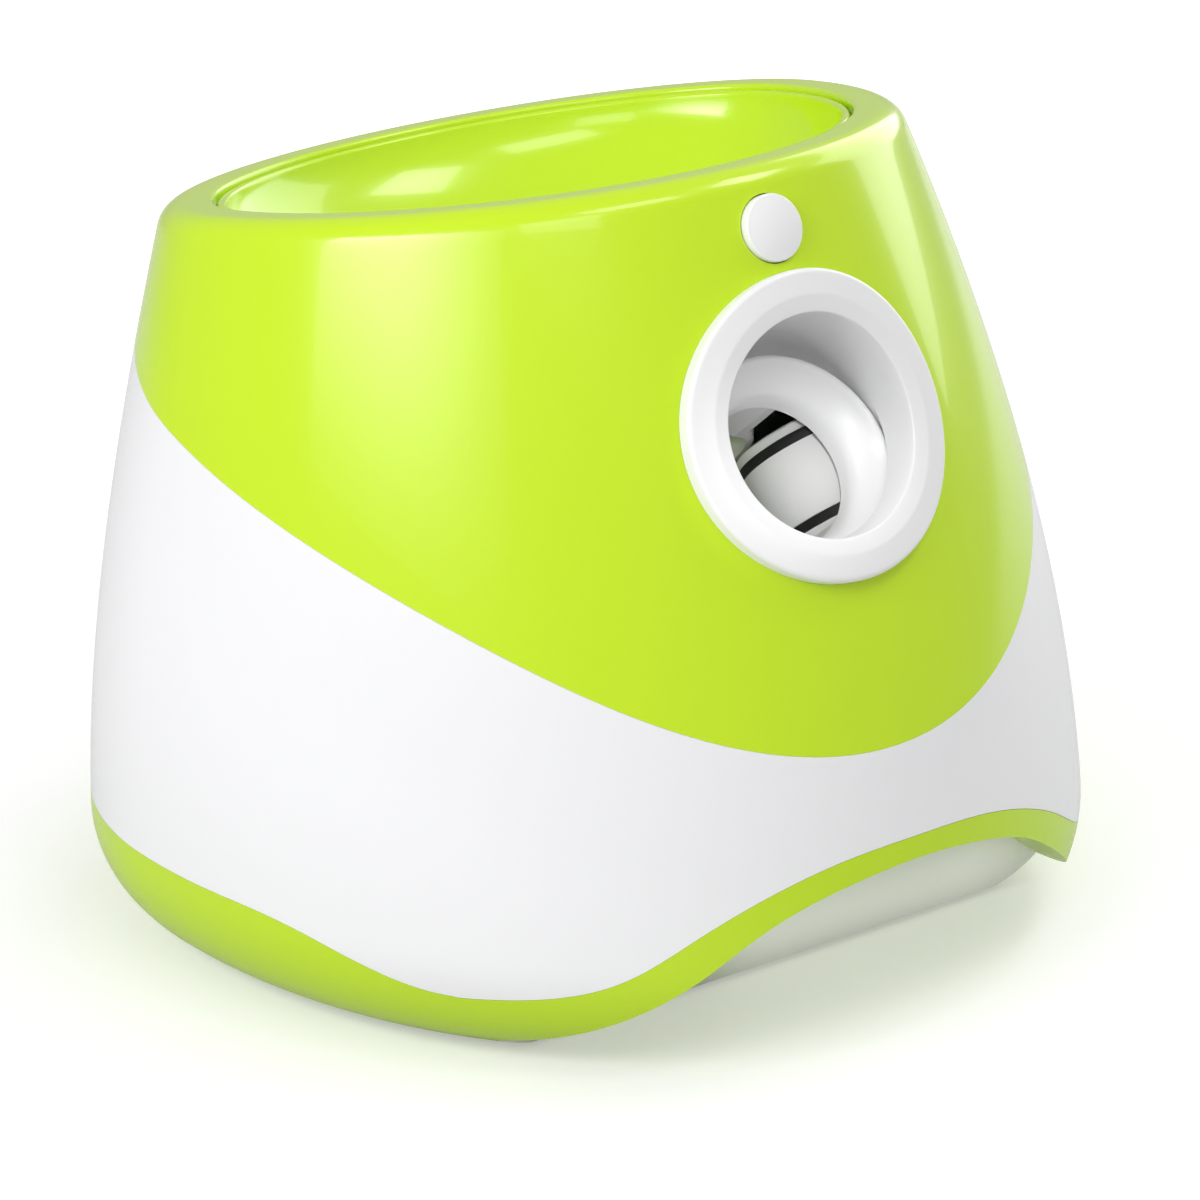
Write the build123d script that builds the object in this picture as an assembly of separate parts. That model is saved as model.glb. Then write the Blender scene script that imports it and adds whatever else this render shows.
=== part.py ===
from build123d import *
import math
import os

# Automatic ball launcher for dogs, built as separate pieces, in millimetres.
# The front, with the muzzle, faces -Y. X runs across the machine, and the origin
# lies on the floor under the middle of the housing.

# ---------------------------------------------------------------- housing form
STATION_PITCH = 72.0            # height between the four outline stations
SIDE_AT_FLOOR = 141.8
SIDE_AT_WAIST = 140.8
SIDE_AT_SHOULDER = 128.4
SIDE_AT_RIM = 107.1
FRONT_AT_FLOOR = 139.2
FRONT_AT_WAIST = 126.8
FRONT_AT_SHOULDER = 101.7
FRONT_AT_RIM = 68.8
REAR_AT_FLOOR = 136.2
REAR_AT_WAIST = 132.4
REAR_AT_SHOULDER = 123.4
REAR_AT_RIM = 114.6
WIDEST_SHARE = 0.594            # where the oval is widest, from front to rear
BASE_ROUND = 34.5               # big radius from the walls to the underside
FORM_TOP = 246.0                # the form is lofted past the rim, then cut
WALL = 2.6
SEAM = 0.3                      # shadow line between two mouldings

# ------------------------------------------------------------------------- rim
RIM_HEIGHT = 218.2              # rim plane above the origin
RIM_TILT = 10.7                 # it falls towards the rear
RIM_ROUND = 7.9
LIP_WIDTH = 14.0
LIP_THICK = 3.6

# ---------------------------------------------------------------------- hopper
BOWL_GAP = 1.0                  # dark line between the lip and the bowl
BOWL_DROP = 1.4                 # the bowl's edge lies this far below the lip
BOWL_WALL = 2.4
BOWL_FLANGE = 5.0
BOWL_FLANGE_THICK = 2.4
DROP_HOLE_HEIGHT = 158.0
CHUTE_Y = -23.0
SPOUT_LENGTH = 10.0
COLLAR_GAP = 0.4                # between the spout and the channel's collar

# ------------------------------------------------------------- ball and launch
BALL_RADIUS = 19.05             # 38.1 mm mini tennis ball
BALL_CLEARANCE = 1.55
LAUNCH_ANGLE = 40.0
LAUNCH_Y = -93.5                # where the launch line leaves the muzzle
LAUNCH_Z = 162.6
TRUMPET_MOUTH_DEPTH = 15.2
TRUMPET_MOUTH_RADIUS = 29.0
TRUMPET_WALL = 1.8
FLARE_SHARE = 0.3               # how much of the flare lies in its rear half
FLARE_LEAN = 0.25
THROAT_DEPTH = 27.8
TUBE_WALL = 2.2
CHANNEL_END_DEPTH = 118.0
CHANNEL_END_WALL = 2.4

# ----------------------------------------------------------------- muzzle ring
FACE_Y = -91.5
FACE_Z = 165.0
FACE_TILT = 24.0
BEZEL_RADIUS = 42.2
BEZEL_STAND = 4.6
BEZEL_BORE_RADIUS = 30.4
BEZEL_CHAMFER = 4.6
BEZEL_CHAMFER_DEPTH = 1.7
BEZEL_EDGE_ROUND = 1.6
BEZEL_SLEEVE_WALL = 2.2
BEZEL_SLEEVE_DEPTH = 33.0
BEZEL_END_ROUND = 8.0           # the sleeve turns in behind the trumpet's lip
BEZEL_HOLE_GAP = 0.3
TRUMPET_ROOM = 1.0              # between the sleeve and the trumpet

# ------------------------------------------------------------------- flywheels
WHEEL_DEPTH = 56.9              # wheel axles behind the muzzle, along the launch line
WHEEL_X = 46.5
WHEEL_LIFT = 1.5                # middle of the treads above the launch line
WHEEL_RADIUS = 28.0
WHEEL_WIDTH = 32.0
WHEEL_RIM_THICK = 4.0
WHEEL_WEB_THICK = 4.0
WHEEL_HUB_RADIUS = 6.0
WHEEL_HUB_LENGTH = 26.0
WHEEL_SPOKE_HOLES = 6
WHEEL_SPOKE_HOLE_RADIUS = 4.4
BAND_SPACING = 23.4
BAND_WIDTH = 3.0
BAND_DEPTH = 1.4
BAND_PROUD = 0.4
WHEEL_ROOM = 1.6
SHAFT_RADIUS = 1.6
SHAFT_RUN = 0.05                # running clearance of a shaft in its bore
HUB_FIT = 0.02                  # clearance of parts that are pushed together
SHAFT_END_ROOM = 2.0

# ---------------------------------------------------------------------- motors
MOTOR_RADIUS = 13.8
MOTOR_LENGTH = 38.0
MOTOR_NOSE_RADIUS = 5.0
MOTOR_NOSE = 2.0
MOTOR_EDGE_ROUND = 1.5
MOTOR_SCREW_DEPTH = 4.0
TERMINAL_THICK = 0.6
TERMINAL_WIDTH = 3.0
TERMINAL_LENGTH = 5.0
BRACKET_THICK = 3.0
BRACKET_GAP = 7.4               # between the wheel's lower face and the plate
BRACKET_HALF_WIDTH = 72.0
BRACKET_HALF_DEPTH = 21.0
CHEEK_X = 66.0
CHEEK_THICK = 6.0
CHEEK_FOOT = 12.0
CHEEK_FRONT_Y = -68.0
CHEEK_REAR_Y = -47.0
MOTOR_SCREW_PITCH = 8.5

# -------------------------------------------------------------------- feed arm
ARM_PIVOT_Y = -47.8
ARM_PIVOT_Z = 61.5
ARM_LENGTH = 44.5
ARM_ANGLE = 31.0                # at rest, above +Y
ARM_WIDTH = 8.0
ARM_THICK = 6.0
ARM_HUB_RADIUS = 8.0
ARM_TIP_RADIUS = 4.5
ARM_SLOT_CLEARANCE = 2.0
ARM_SLOT_START = 76.0           # depths along the launch line
ARM_SLOT_RISE = 4.0
GEARBOX_RADIUS = 12.5
GEARBOX_LENGTH = 22.0
FEED_MOTOR_RADIUS = 12.0
FEED_MOTOR_LENGTH = 30.0
FEED_SHAFT_RADIUS = 2.0
FEED_SHAFT_SEAT = 8.0
GEARBOX_OFFSET = 3.0
CRADLE_DEPTH = 22.0
CRADLE_FOOT = 3.0
CRADLE_RIB = 4.0

# ---------------------------------------------------------------- power button
BUTTON_BELOW_RIM = 15.7         # under the front of the rim
BUTTON_PROUD = 2.0              # the cap's plane in front of the shell's wall
BUTTON_TILT = 23.2
BUTTON_RADIUS = 9.2
BUTTON_GAP = 0.35
BUTTON_DOME = 1.6
BUTTON_STAND = 0.0              # cap's edge above the button's own plane
BUTTON_TRAVEL = 1.2
BUTTON_SKIRT = 6.0
BUTTON_RIM = 1.2
BUTTON_STEM = 1.0
BUTTON_STEM_RADIUS = 1.6
BUTTON_PLAY = 1.25
GUIDE_WALL = 1.4
SWITCH_WIDTH = 6.0
SWITCH_HEIGHT = 3.5
SWITCH_PLUNGER = 0.8

# ------------------------------------------------------------------------ base
TRIM_FRONT = ((0.0, 59.0), (25.0, 57.2), (45.0, 52.2), (65.0, 43.5), (85.0, 31.2), (110.0, 24.0))
TRIM_SIDE = ((-74.8, 24.0), (-52.0, 28.8), (-33.0, 34.3), (0.0, 36.9), (60.0, 38.5), (160.0, 36.0))
PARTING = ((-160.0, 53.0), (-75.0, 114.6), (0.0, 146.4), (75.0, 168.8), (160.0, 198.0))
ARCH = ((0.0, 53.0), (25.0, 50.6), (48.3, 41.6), (68.0, 28.4), (88.4, 12.6), (112.0, -4.0))
ARCH_DEPTH = 62.0               # from the front of the housing
BASE_FLOOR = 4.0                # top face of the pan's floor

# --------------------------------------------------------------------- battery
CELL_RADIUS = 13.0
CELL_LENGTH = 50.0
CELL_ROWS = 2
CELLS_PER_ROW = 3
CELL_GAP = 1.0
CELL_END_ROOM = 5.0
BAY_Y = 30.0
BAY_WALL = 2.0
BAY_FRAME_THICK = 2.4
CELL_NUB = 1.5
CELL_NUB_RADIUS = 3.0
CELL_EDGE_ROUND = 1.0
CONTACT_THICK = 0.8
CONTACT_ROOT_RADIUS = 5.0
CONTACT_TIP_RADIUS = 2.5
BAY_LIFT = 4.7                  # cells lie this far above the floor plane
DOOR_THICK = 2.4
DOOR_RECESS = 0.4
DOOR_GAP = 0.4
DOOR_LEDGE = 5.0
DOOR_LIP = 1.2                  # rails under the door's long tongues
DOOR_TONGUE = 2.0
DOOR_TRAVEL = 8.0
GRIP_RIBS = 4
GRIP_PITCH = 3.0
GRIP_WIDTH = 30.0

# ------------------------------------------------------------------- rear inlet
JACK_Z = 60.0
JACK_RADIUS = 5.5
JACK_BORE_RADIUS = 2.75
JACK_PIN_RADIUS = 1.05
JACK_LENGTH = 14.0
JACK_FLANGE = 1.5

# ------------------------------------------------------------------ electronics
BOARD_LENGTH = 78.0
BOARD_WIDTH = 46.0
BOARD_THICK = 1.6
BOARD_POST = 8.0
BOARD_INSET = 4.0
CHIP_SIZE = (12.0, 12.0, 2.0)
RELAY_SIZE = (12.0, 18.0, 15.0)
RELAY_X = 17.0
SOCKET_SIZE = (10.0, 6.0, 7.0)
SOCKET_X = 31.0
CAPACITOR_RADIUS = 4.0
CAPACITOR_HEIGHT = 11.0

# -------------------------------------------------------------- feet and screws
FOOT_RADIUS = 6.0
FOOT_STAND = 1.2                # the pan's underside stands this far off the floor
FOOT_SINK = 1.5
FRONT_FOOT_X = 88.0
FRONT_FOOT_Y = -36.0
REAR_FOOT_X = 60.0
REAR_FOOT_Y = 81.0
SCREW_RADIUS = 1.5
SCREW_HEAD_RADIUS = 3.0
SCREW_HEAD_HEIGHT = 2.0
BASE_SCREW_LENGTH = 32.0
BASE_SCREW_SINK = 6.0
SCREW_POST_RADIUS = 5.0
SCREW_POST_JOINT = 24.0         # where the base's posts meet the shell's
SCREW_POST_TOP = 60.0
SCREW_RIB_FOOT = 44.0
SCREW_RIB_THICK = 2.4
SCREW_POST_FRONT_X = 98.0
SCREW_POST_FRONT_Y = 6.0
SCREW_POST_REAR_X = 38.0
SCREW_POST_REAR_Y = 91.0

# ---------------------------------------------------------- sensors and channel
SENSOR_RADIUS = 2.5
SENSOR_GAP = 0.1
SENSOR_LENGTH = 6.0
SENSOR_COLLAR = 0.8
SENSOR_X = 20.4
SENSOR_LIFT = -6.0
POST_X = 17.0
POST_Y = -11.0
POST_THICK = 4.0
POST_DEPTH = 9.0
POST_FOOT = 12.0
POST_TOP = 84.0

# --------------------------------------------------- sizes that follow from them
BORE_RADIUS = BALL_RADIUS + BALL_CLEARANCE
TUBE_RADIUS = BORE_RADIUS + TUBE_WALL
SPOUT_RADIUS = BORE_RADIUS + TUBE_WALL
COLLAR_RADIUS = SPOUT_RADIUS + COLLAR_GAP
CHUTE_DEPTH = (CHUTE_Y - LAUNCH_Y) / math.cos(math.radians(LAUNCH_ANGLE))
REACH = 220.0                   # past every side of the housing


# ============================================================ shared geometry
def along_height(stations, height):
    """Cubic through the four stations, counted up from the floor."""
    step = height / STATION_PITCH
    total = 0.0
    for i, value in enumerate(stations):
        weight = 1.0
        for j in range(len(stations)):
            if j != i:
                weight *= (step - j) / (i - j)
        total += weight * value
    return total


def oval(side, front, rear):
    """Outline of two half ellipses that meet where the housing is widest."""
    middle = (front + rear) * WIDEST_SHARE - front
    fore = EllipticalCenterArc((0, middle), side, front + middle, start_angle=180, arc_size=180)
    aft = EllipticalCenterArc((0, middle), side, rear - middle, start_angle=0, arc_size=180)
    return Wire([fore.edge(), aft.edge()])


def housing_reach(height):
    """How far the housing reaches to the side, the front and the rear."""
    side = along_height((SIDE_AT_FLOOR, SIDE_AT_WAIST, SIDE_AT_SHOULDER, SIDE_AT_RIM), height)
    front = along_height(
        (FRONT_AT_FLOOR, FRONT_AT_WAIST, FRONT_AT_SHOULDER, FRONT_AT_RIM), height
    )
    rear = along_height((REAR_AT_FLOOR, REAR_AT_WAIST, REAR_AT_SHOULDER, REAR_AT_RIM), height)
    return side, front, rear


def housing_outline(height, grow):
    side, front, rear = housing_reach(height)
    return Pos(0, 0, height) * oval(side + grow, front + grow, rear + grow)


def housing_form(grow):
    """The housing's closed form, moved outwards by grow all round."""
    steps = 6
    foot = []
    for k in range(steps + 1):
        angle = math.radians(90.0 * k / steps)
        radius = BASE_ROUND + grow
        height = BASE_ROUND - radius * math.cos(angle)
        foot.append(housing_outline(height, radius * math.sin(angle) - BASE_ROUND))
    walls = []
    for k in range(steps):
        height = BASE_ROUND + (FORM_TOP - BASE_ROUND) * k / (steps - 1)
        walls.append(housing_outline(height, grow))
    return Solid.make_loft(foot) + Solid.make_loft(walls)


def wall_y(height):
    """Y of the front wall, on the middle plane."""
    return -housing_reach(height)[1]


def rim_plane(drop):
    """The rim's plane, moved down along its own normal by drop."""
    tilt = math.radians(RIM_TILT)
    normal = Vector(0, math.sin(tilt), math.cos(tilt))
    return Plane(origin=Vector(0, 0, RIM_HEIGHT) - normal * drop, x_dir=(1, 0, 0), z_dir=normal)


def below(solid, drop):
    return split(solid, bisect_by=rim_plane(drop), keep=Keep.BOTTOM)


def above(solid, drop):
    return split(solid, bisect_by=rim_plane(drop), keep=Keep.TOP)


def side_curve_block(points, shift):
    """Everything under a curve in the side view, right across the machine."""
    top = Spline([(y, z + shift) for y, z in points])
    first = top @ 0
    last = top @ 1
    rest = Polyline(last, (last.X, -REACH), (first.X, -REACH), first)
    face = make_face(Plane.YZ * (top + rest))
    return extrude(face, amount=REACH, both=True)


def front_curve_block(points, shift, start, end):
    """Everything under a mirrored curve in the front view, from Y start to end."""
    right = [(x, z + shift) for x, z in points]
    left = [(-x, z) for x, z in reversed(right[1:])]
    top = Spline(left + right)
    first = top @ 0
    last = top @ 1
    rest = Polyline(last, (last.X, -REACH), (first.X, -REACH), first)
    face = make_face(Plane(origin=(0, end, 0), x_dir=(1, 0, 0), z_dir=(0, -1, 0)) * (top + rest))
    return extrude(face, amount=end - start, dir=(0, -1, 0))


def tilted(angle, y, z):
    """Frame whose Z looks forwards and upwards at the angle, X to the right."""
    rise = math.radians(angle)
    return Plane(
        origin=(0, y, z), x_dir=(1, 0, 0), z_dir=(0, -math.cos(rise), math.sin(rise))
    ).location


def rod(radius, length, bore=0.0):
    """A round bar, or a tube if it has a bore, standing up from its own origin."""
    flat = Circle(radius)
    if bore > 0:
        flat -= Circle(bore)
    return extrude(flat, amount=length)


def slab(width, depth, height):
    """A block that stands on its own origin."""
    return Pos(0, 0, height / 2) * Box(width, depth, height)


def save(name, shape):
    export_step(shape, f"parts/{name}.step")


LAUNCH = tilted(LAUNCH_ANGLE, LAUNCH_Y, LAUNCH_Z)
FACE = tilted(FACE_TILT, FACE_Y, FACE_Z)


def button_place():
    """The button's own frame, on the wall just under the front of the rim."""
    rim_front = RIM_HEIGHT - math.tan(math.radians(RIM_TILT)) * wall_y(RIM_HEIGHT)
    height = rim_front - BUTTON_BELOW_RIM
    return tilted(BUTTON_TILT, wall_y(height) - BUTTON_PROUD, height)


BUTTON = button_place()


def on_launch_line(depth, x=0.0, lift=0.0):
    """Place on the launch line, depth behind the muzzle and lifted across it."""
    return LAUNCH * Pos(x, lift, -depth)


def wheel_place(side, lift=0.0):
    """A flywheel's own frame: Z along its axle, upwards, at its middle."""
    return on_launch_line(WHEEL_DEPTH, side * WHEEL_X, WHEEL_LIFT + lift) * Rot(-90, 0, 0)


# ============================================================== housing shells
def housing_solids():
    """The whole outer form with its rolled rim, and the room inside it."""
    outer = below(housing_form(0.0), 0.0)
    rim_face = outer.faces().sort_by(Axis((0, 0, 0), (0, math.sin(math.radians(RIM_TILT)), 1)))[-1]
    outer = fillet(rim_face.edges(), RIM_ROUND)
    room = below(housing_form(-WALL), LIP_THICK)
    return outer, room


def bezel_hole():
    """Cutter for the hole that the muzzle ring's sleeve passes through."""
    radius = BEZEL_BORE_RADIUS + BEZEL_SLEEVE_WALL + BEZEL_HOLE_GAP
    return FACE * Pos(0, 0, -BEZEL_SLEEVE_DEPTH) * rod(radius, 2 * BEZEL_SLEEVE_DEPTH)


def button_hole():
    return BUTTON * Pos(0, 0, -LIP_WIDTH) * rod(BUTTON_RADIUS + BUTTON_GAP, 2 * LIP_WIDTH)


def upper_shell(outer, room):
    shell = outer - side_curve_block(PARTING, SEAM / 2) - room
    shell -= bowl_opening(0.0)
    shell -= bezel_hole()
    shell -= button_hole()
    return shell


def pan_block(shift):
    """Everything below the wavy edge of the base."""
    join = TRIM_SIDE[0][0]
    front = front_curve_block(TRIM_FRONT + ((REACH, TRIM_FRONT[-1][1]),), shift, -REACH, join)
    return front + side_curve_block_from(TRIM_SIDE, shift)


def side_curve_block_from(points, shift):
    top = Spline([(y, z + shift) for y, z in points], tangents=((1, 0), (1, 0)))
    first = top @ 0
    last = top @ 1
    rest = Polyline(last, (last.X, -REACH), (first.X, -REACH), first)
    face = make_face(Plane.YZ * (top + rest))
    return extrude(face, amount=REACH, both=True)


def jack_place():
    rear = housing_reach(JACK_Z)[2]
    return Pos(0, rear, JACK_Z) * Rot(-90, 0, 0)


def shell_posts(outer):
    """Screw posts inside the lower shell, each with a rib to the nearest wall."""
    height = SCREW_POST_TOP - SCREW_POST_JOINT - SEAM
    rib_height = SCREW_POST_TOP - SCREW_RIB_FOOT
    group = []
    for x, y in post_places():
        group.append(Pos(x, y, SCREW_POST_JOINT + SEAM) * rod(SCREW_POST_RADIUS, height))
        if y == SCREW_POST_REAR_Y:
            rib = Pos(x, y + REACH / 2, SCREW_RIB_FOOT) * slab(SCREW_RIB_THICK, REACH, rib_height)
        else:
            out = math.copysign(REACH / 2, x)
            rib = Pos(x + out, y, SCREW_RIB_FOOT) * slab(REACH, SCREW_RIB_THICK, rib_height)
        group.append(rib & outer)
    return group


def lower_shell(outer, room):
    shell = outer & side_curve_block(PARTING, -SEAM / 2)
    shell -= room
    shell -= pan_block(SEAM / 2)
    shell -= jack_place() * Pos(0, 0, -JACK_LENGTH) * rod(JACK_RADIUS + SEAM, 2 * JACK_LENGTH)
    for piece in shell_posts(outer):
        shell += piece
    for x, y in post_places():
        shell -= Pos(x, y, 0) * rod(SCREW_RADIUS, BASE_SCREW_SINK + BASE_SCREW_LENGTH + SEAM)
    return shell


def arch_block(grow):
    front = -REACH
    end = -housing_reach(BASE_ROUND)[1] + ARCH_DEPTH + grow
    points = tuple((x + grow * min(1.0, x / ARCH[2][0]), z) for x, z in ARCH)
    return front_curve_block(points, grow, front, end)


# ===================================================================== hopper
def rim_reach():
    """Reach of the housing in the rim plane, counted along that plane."""
    slope = math.tan(math.radians(RIM_TILT))
    front = FRONT_AT_RIM
    rear = REAR_AT_RIM
    for _ in range(8):
        front = housing_reach(RIM_HEIGHT + slope * front)[1]
        rear = housing_reach(RIM_HEIGHT - slope * rear)[2]
    middle = (front + rear) * WIDEST_SHARE - front
    side = housing_reach(RIM_HEIGHT - slope * middle)[0]
    stretch = 1 / math.cos(math.radians(RIM_TILT))
    return side, front * stretch, rear * stretch


def rim_prism(inset, drop, height):
    """Upright-to-the-rim prism of the rim's outline, from drop up by height."""
    side, front, rear = rim_reach()
    face = make_face(oval(side - inset, front - inset, rear - inset).edges())
    return rim_plane(drop).location * extrude(face, amount=height, dir=(0, 0, 1))


def bowl_opening(gap):
    return rim_prism(LIP_WIDTH + gap, LIP_THICK + LIP_WIDTH, 2 * LIP_WIDTH + LIP_THICK)


def bowl_depth():
    """Depth of the drop hole below the rim plane, along the plane's normal."""
    tilt = math.radians(RIM_TILT)
    return (RIM_HEIGHT - DROP_HOLE_HEIGHT - CHUTE_Y * math.tan(tilt)) * math.cos(tilt)


def bowl_loft(grow, start, depth):
    """The funnel's form, from a depth near the rim down to the drop hole."""
    side, front, rear = rim_reach()
    lip = LIP_WIDTH + BOWL_GAP + BOWL_WALL - grow
    hole = BORE_RADIUS + grow
    tilt = math.radians(RIM_TILT)
    centre = (CHUTE_Y + math.sin(tilt) * depth) / math.cos(tilt)
    sections = []
    steps = 8
    for k in range(steps + 1):
        drop = start + (depth - start) * k / steps
        share = math.cos(math.pi / 2 * max(0.0, drop) / depth)
        reach = [
            hole + (side - lip - hole) * share,
            hole - centre + (front - lip - hole + centre) * share,
            hole + centre + (rear - lip - hole - centre) * share,
        ]
        sections.append(rim_plane(drop).location * oval(*reach))
    return Solid.make_loft(sections)


def hopper_bowl():
    depth = bowl_depth()
    bowl = bowl_loft(BOWL_WALL, BOWL_DROP, depth + BOWL_WALL)
    under_lip = LIP_THICK + SEAM
    bowl += rim_prism(
        LIP_WIDTH - BOWL_FLANGE, under_lip + BOWL_FLANGE_THICK, BOWL_FLANGE_THICK
    )
    spout = Pos(0, CHUTE_Y, DROP_HOLE_HEIGHT - SPOUT_LENGTH)
    bowl += spout * rod(SPOUT_RADIUS, SPOUT_LENGTH + TUBE_RADIUS / 2)
    bowl -= bowl_loft(0.0, -BOWL_WALL, depth)
    bowl -= Pos(0, CHUTE_Y, DROP_HOLE_HEIGHT - REACH / 2) * rod(BORE_RADIUS, REACH / 2 + BOWL_WALL)
    return bowl


# ================================================================ muzzle group
def trumpet_envelope():
    """Room for the trumpet and the wheels, turned about the launch line."""
    lip = TRUMPET_MOUTH_RADIUS + TRUMPET_WALL + TRUMPET_ROOM
    neck = TUBE_RADIUS + TRUMPET_WALL / 2 + TRUMPET_ROOM
    flare_end = THROAT_DEPTH - (THROAT_DEPTH - TRUMPET_MOUTH_DEPTH) / 4
    wheels = THROAT_DEPTH + TRUMPET_ROOM
    profile = Polyline(
        (0, -TRUMPET_MOUTH_DEPTH + TRUMPET_ROOM),
        (lip, -TRUMPET_MOUTH_DEPTH + TRUMPET_ROOM),
        (lip, -TRUMPET_MOUTH_DEPTH - TRUMPET_WALL),
        (neck, -flare_end - TRUMPET_ROOM),
        (neck, -wheels),
        (BEZEL_RADIUS, -wheels),
        (BEZEL_RADIUS, -wheels - 2 * BEZEL_SLEEVE_DEPTH),
        (0, -wheels - 2 * BEZEL_SLEEVE_DEPTH),
        close=True,
    )
    return LAUNCH * revolve(make_face(Plane.XZ * profile), Axis.Z)


def bezel_sleeve():
    """Sleeve whose rear end turns in behind the trumpet's lip."""
    outside = rod(BEZEL_BORE_RADIUS + BEZEL_SLEEVE_WALL, 2 * BEZEL_SLEEVE_DEPTH)
    outside = fillet(outside.edges().sort_by(Axis.Z)[0], BEZEL_END_ROUND + BEZEL_SLEEVE_WALL)
    inside = rod(BEZEL_BORE_RADIUS, 2 * BEZEL_SLEEVE_DEPTH)
    inside = fillet(inside.edges().sort_by(Axis.Z)[0], BEZEL_END_ROUND)
    sleeve = outside - Pos(0, 0, BEZEL_SLEEVE_WALL) * inside
    return Pos(0, 0, -BEZEL_SLEEVE_DEPTH) * sleeve


def muzzle_bezel():
    """Raised ring that follows the shell's curve, with a sleeve into its hole."""
    to_face = FACE.inverse()
    behind = Pos(0, 0, -BEZEL_RADIUS / 2)
    ring = behind * rod(BEZEL_RADIUS, BEZEL_RADIUS) & (to_face * housing_form(BEZEL_STAND))
    ring = fillet(ring.edges().sort_by(Axis.Z)[-1], BEZEL_EDGE_ROUND)
    skin = to_face * housing_form(SEAM / 2)
    ring -= skin
    ring -= behind * rod(BEZEL_BORE_RADIUS, BEZEL_RADIUS)
    bore_edges = ring.edges().filter_by(
        lambda edge: abs(edge.bounding_box().size.X - 2 * BEZEL_BORE_RADIUS) < SEAM
    )
    front_face = ring.faces().sort_by(Axis.Z)[-1]
    bore_edge = bore_edges.sort_by(Axis.Z)[-1]
    ring = chamfer(bore_edge, BEZEL_CHAMFER, BEZEL_CHAMFER_DEPTH, reference=front_face)
    ring += bezel_sleeve() & (to_face * housing_form(SEAM))
    return FACE * ring - trumpet_envelope()


def launch_trumpet():
    mouth = TRUMPET_MOUTH_RADIUS
    wall = TRUMPET_WALL
    flare = THROAT_DEPTH - TRUMPET_MOUTH_DEPTH
    inner = Spline(
        (BORE_RADIUS, -THROAT_DEPTH),
        (BORE_RADIUS + (mouth - BORE_RADIUS) * FLARE_SHARE, -THROAT_DEPTH + flare / 2),
        (mouth, -TRUMPET_MOUTH_DEPTH),
        tangents=((FLARE_LEAN, 1), (FLARE_LEAN, 1)),
    )
    lip = Line((mouth, -TRUMPET_MOUTH_DEPTH), (mouth + wall, -TRUMPET_MOUTH_DEPTH - wall / 2))
    outer = Polyline(
        (mouth + wall, -TRUMPET_MOUTH_DEPTH - wall / 2),
        (TUBE_RADIUS + wall / 2, -THROAT_DEPTH + flare / 4),
        (TUBE_RADIUS, -THROAT_DEPTH),
        (BORE_RADIUS, -THROAT_DEPTH),
    )
    profile = make_face(Plane.XZ * (inner + lip + outer))
    return LAUNCH * revolve(profile, Axis.Z)


# ============================================================== launch channel
def launch_channel():
    """Tube from the chute to the trumpet, open beside the wheels, with the collar."""
    length = CHANNEL_END_DEPTH + CHANNEL_END_WALL - THROAT_DEPTH
    channel = on_launch_line(CHANNEL_END_DEPTH + CHANNEL_END_WALL) * rod(TUBE_RADIUS, length)
    chute = on_launch_line(CHUTE_DEPTH).position
    collar = Pos(0, CHUTE_Y, chute.Z) * rod(COLLAR_RADIUS + TUBE_WALL, DROP_HOLE_HEIGHT - chute.Z)
    channel += below(collar, bowl_depth() + BOWL_WALL + SEAM)
    for side in (-1, 1):
        post = Pos(side * POST_X, POST_Y, BASE_FLOOR + SEAM) * slab(POST_THICK, POST_DEPTH, POST_TOP)
        channel += post
        foot = Pos(side * POST_X, POST_Y, BASE_FLOOR + SEAM) * slab(POST_FOOT, POST_DEPTH, BASE_FLOOR)
        channel += foot
    channel -= on_launch_line(CHANNEL_END_DEPTH) * rod(BORE_RADIUS, CHANNEL_END_DEPTH)
    channel -= Pos(0, CHUTE_Y, chute.Z) * rod(COLLAR_RADIUS, REACH)
    slot_width = ARM_WIDTH + 2 * ARM_SLOT_CLEARANCE
    slot_length = CHANNEL_END_DEPTH + 2 * CHANNEL_END_WALL - ARM_SLOT_START
    slot_height = TUBE_RADIUS + TUBE_WALL + ARM_SLOT_RISE
    slot = slab(slot_width, slot_height, slot_length)
    lift = ARM_SLOT_RISE - slot_height / 2
    channel -= on_launch_line(CHANNEL_END_DEPTH + 2 * CHANNEL_END_WALL, 0.0, lift) * slot
    window = slab(2 * WHEEL_X, WHEEL_WIDTH + 2 * WHEEL_ROOM, WHEEL_DEPTH - THROAT_DEPTH)
    channel -= on_launch_line(WHEEL_DEPTH, 0.0, WHEEL_LIFT) * window
    for side in (-1, 1):
        channel -= wheel_place(side, -WHEEL_WIDTH / 2 - WHEEL_ROOM) * rod(
            WHEEL_RADIUS + WHEEL_ROOM, WHEEL_WIDTH + 2 * WHEEL_ROOM
        )
        channel -= sensor_place(side) * Pos(0, 0, -SENSOR_LENGTH) * rod(
            SENSOR_RADIUS + SENSOR_GAP, 2 * SENSOR_LENGTH
        )
    return channel


def channel_half(channel, side):
    """One of the two mouldings that meet on the middle plane, without loose slivers."""
    half = split(channel, bisect_by=Plane.YZ, keep=Keep.TOP if side > 0 else Keep.BOTTOM)
    return half.solids().sort_by(SortBy.VOLUME)[-1]


def sensor_place(side):
    """Frame at the tube's wall beside the waiting ball, Z outwards."""
    out = Rot(0, side * 90, 0)
    return on_launch_line(CHUTE_DEPTH, side * SENSOR_X, SENSOR_LIFT) * out


def ball_sensor(side):
    body = rod(SENSOR_RADIUS, SENSOR_LENGTH)
    collar = Pos(0, 0, SENSOR_LENGTH - SENSOR_COLLAR) * rod(
        SENSOR_RADIUS + SENSOR_COLLAR, SENSOR_COLLAR
    )
    return sensor_place(side) * (body + collar)


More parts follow.
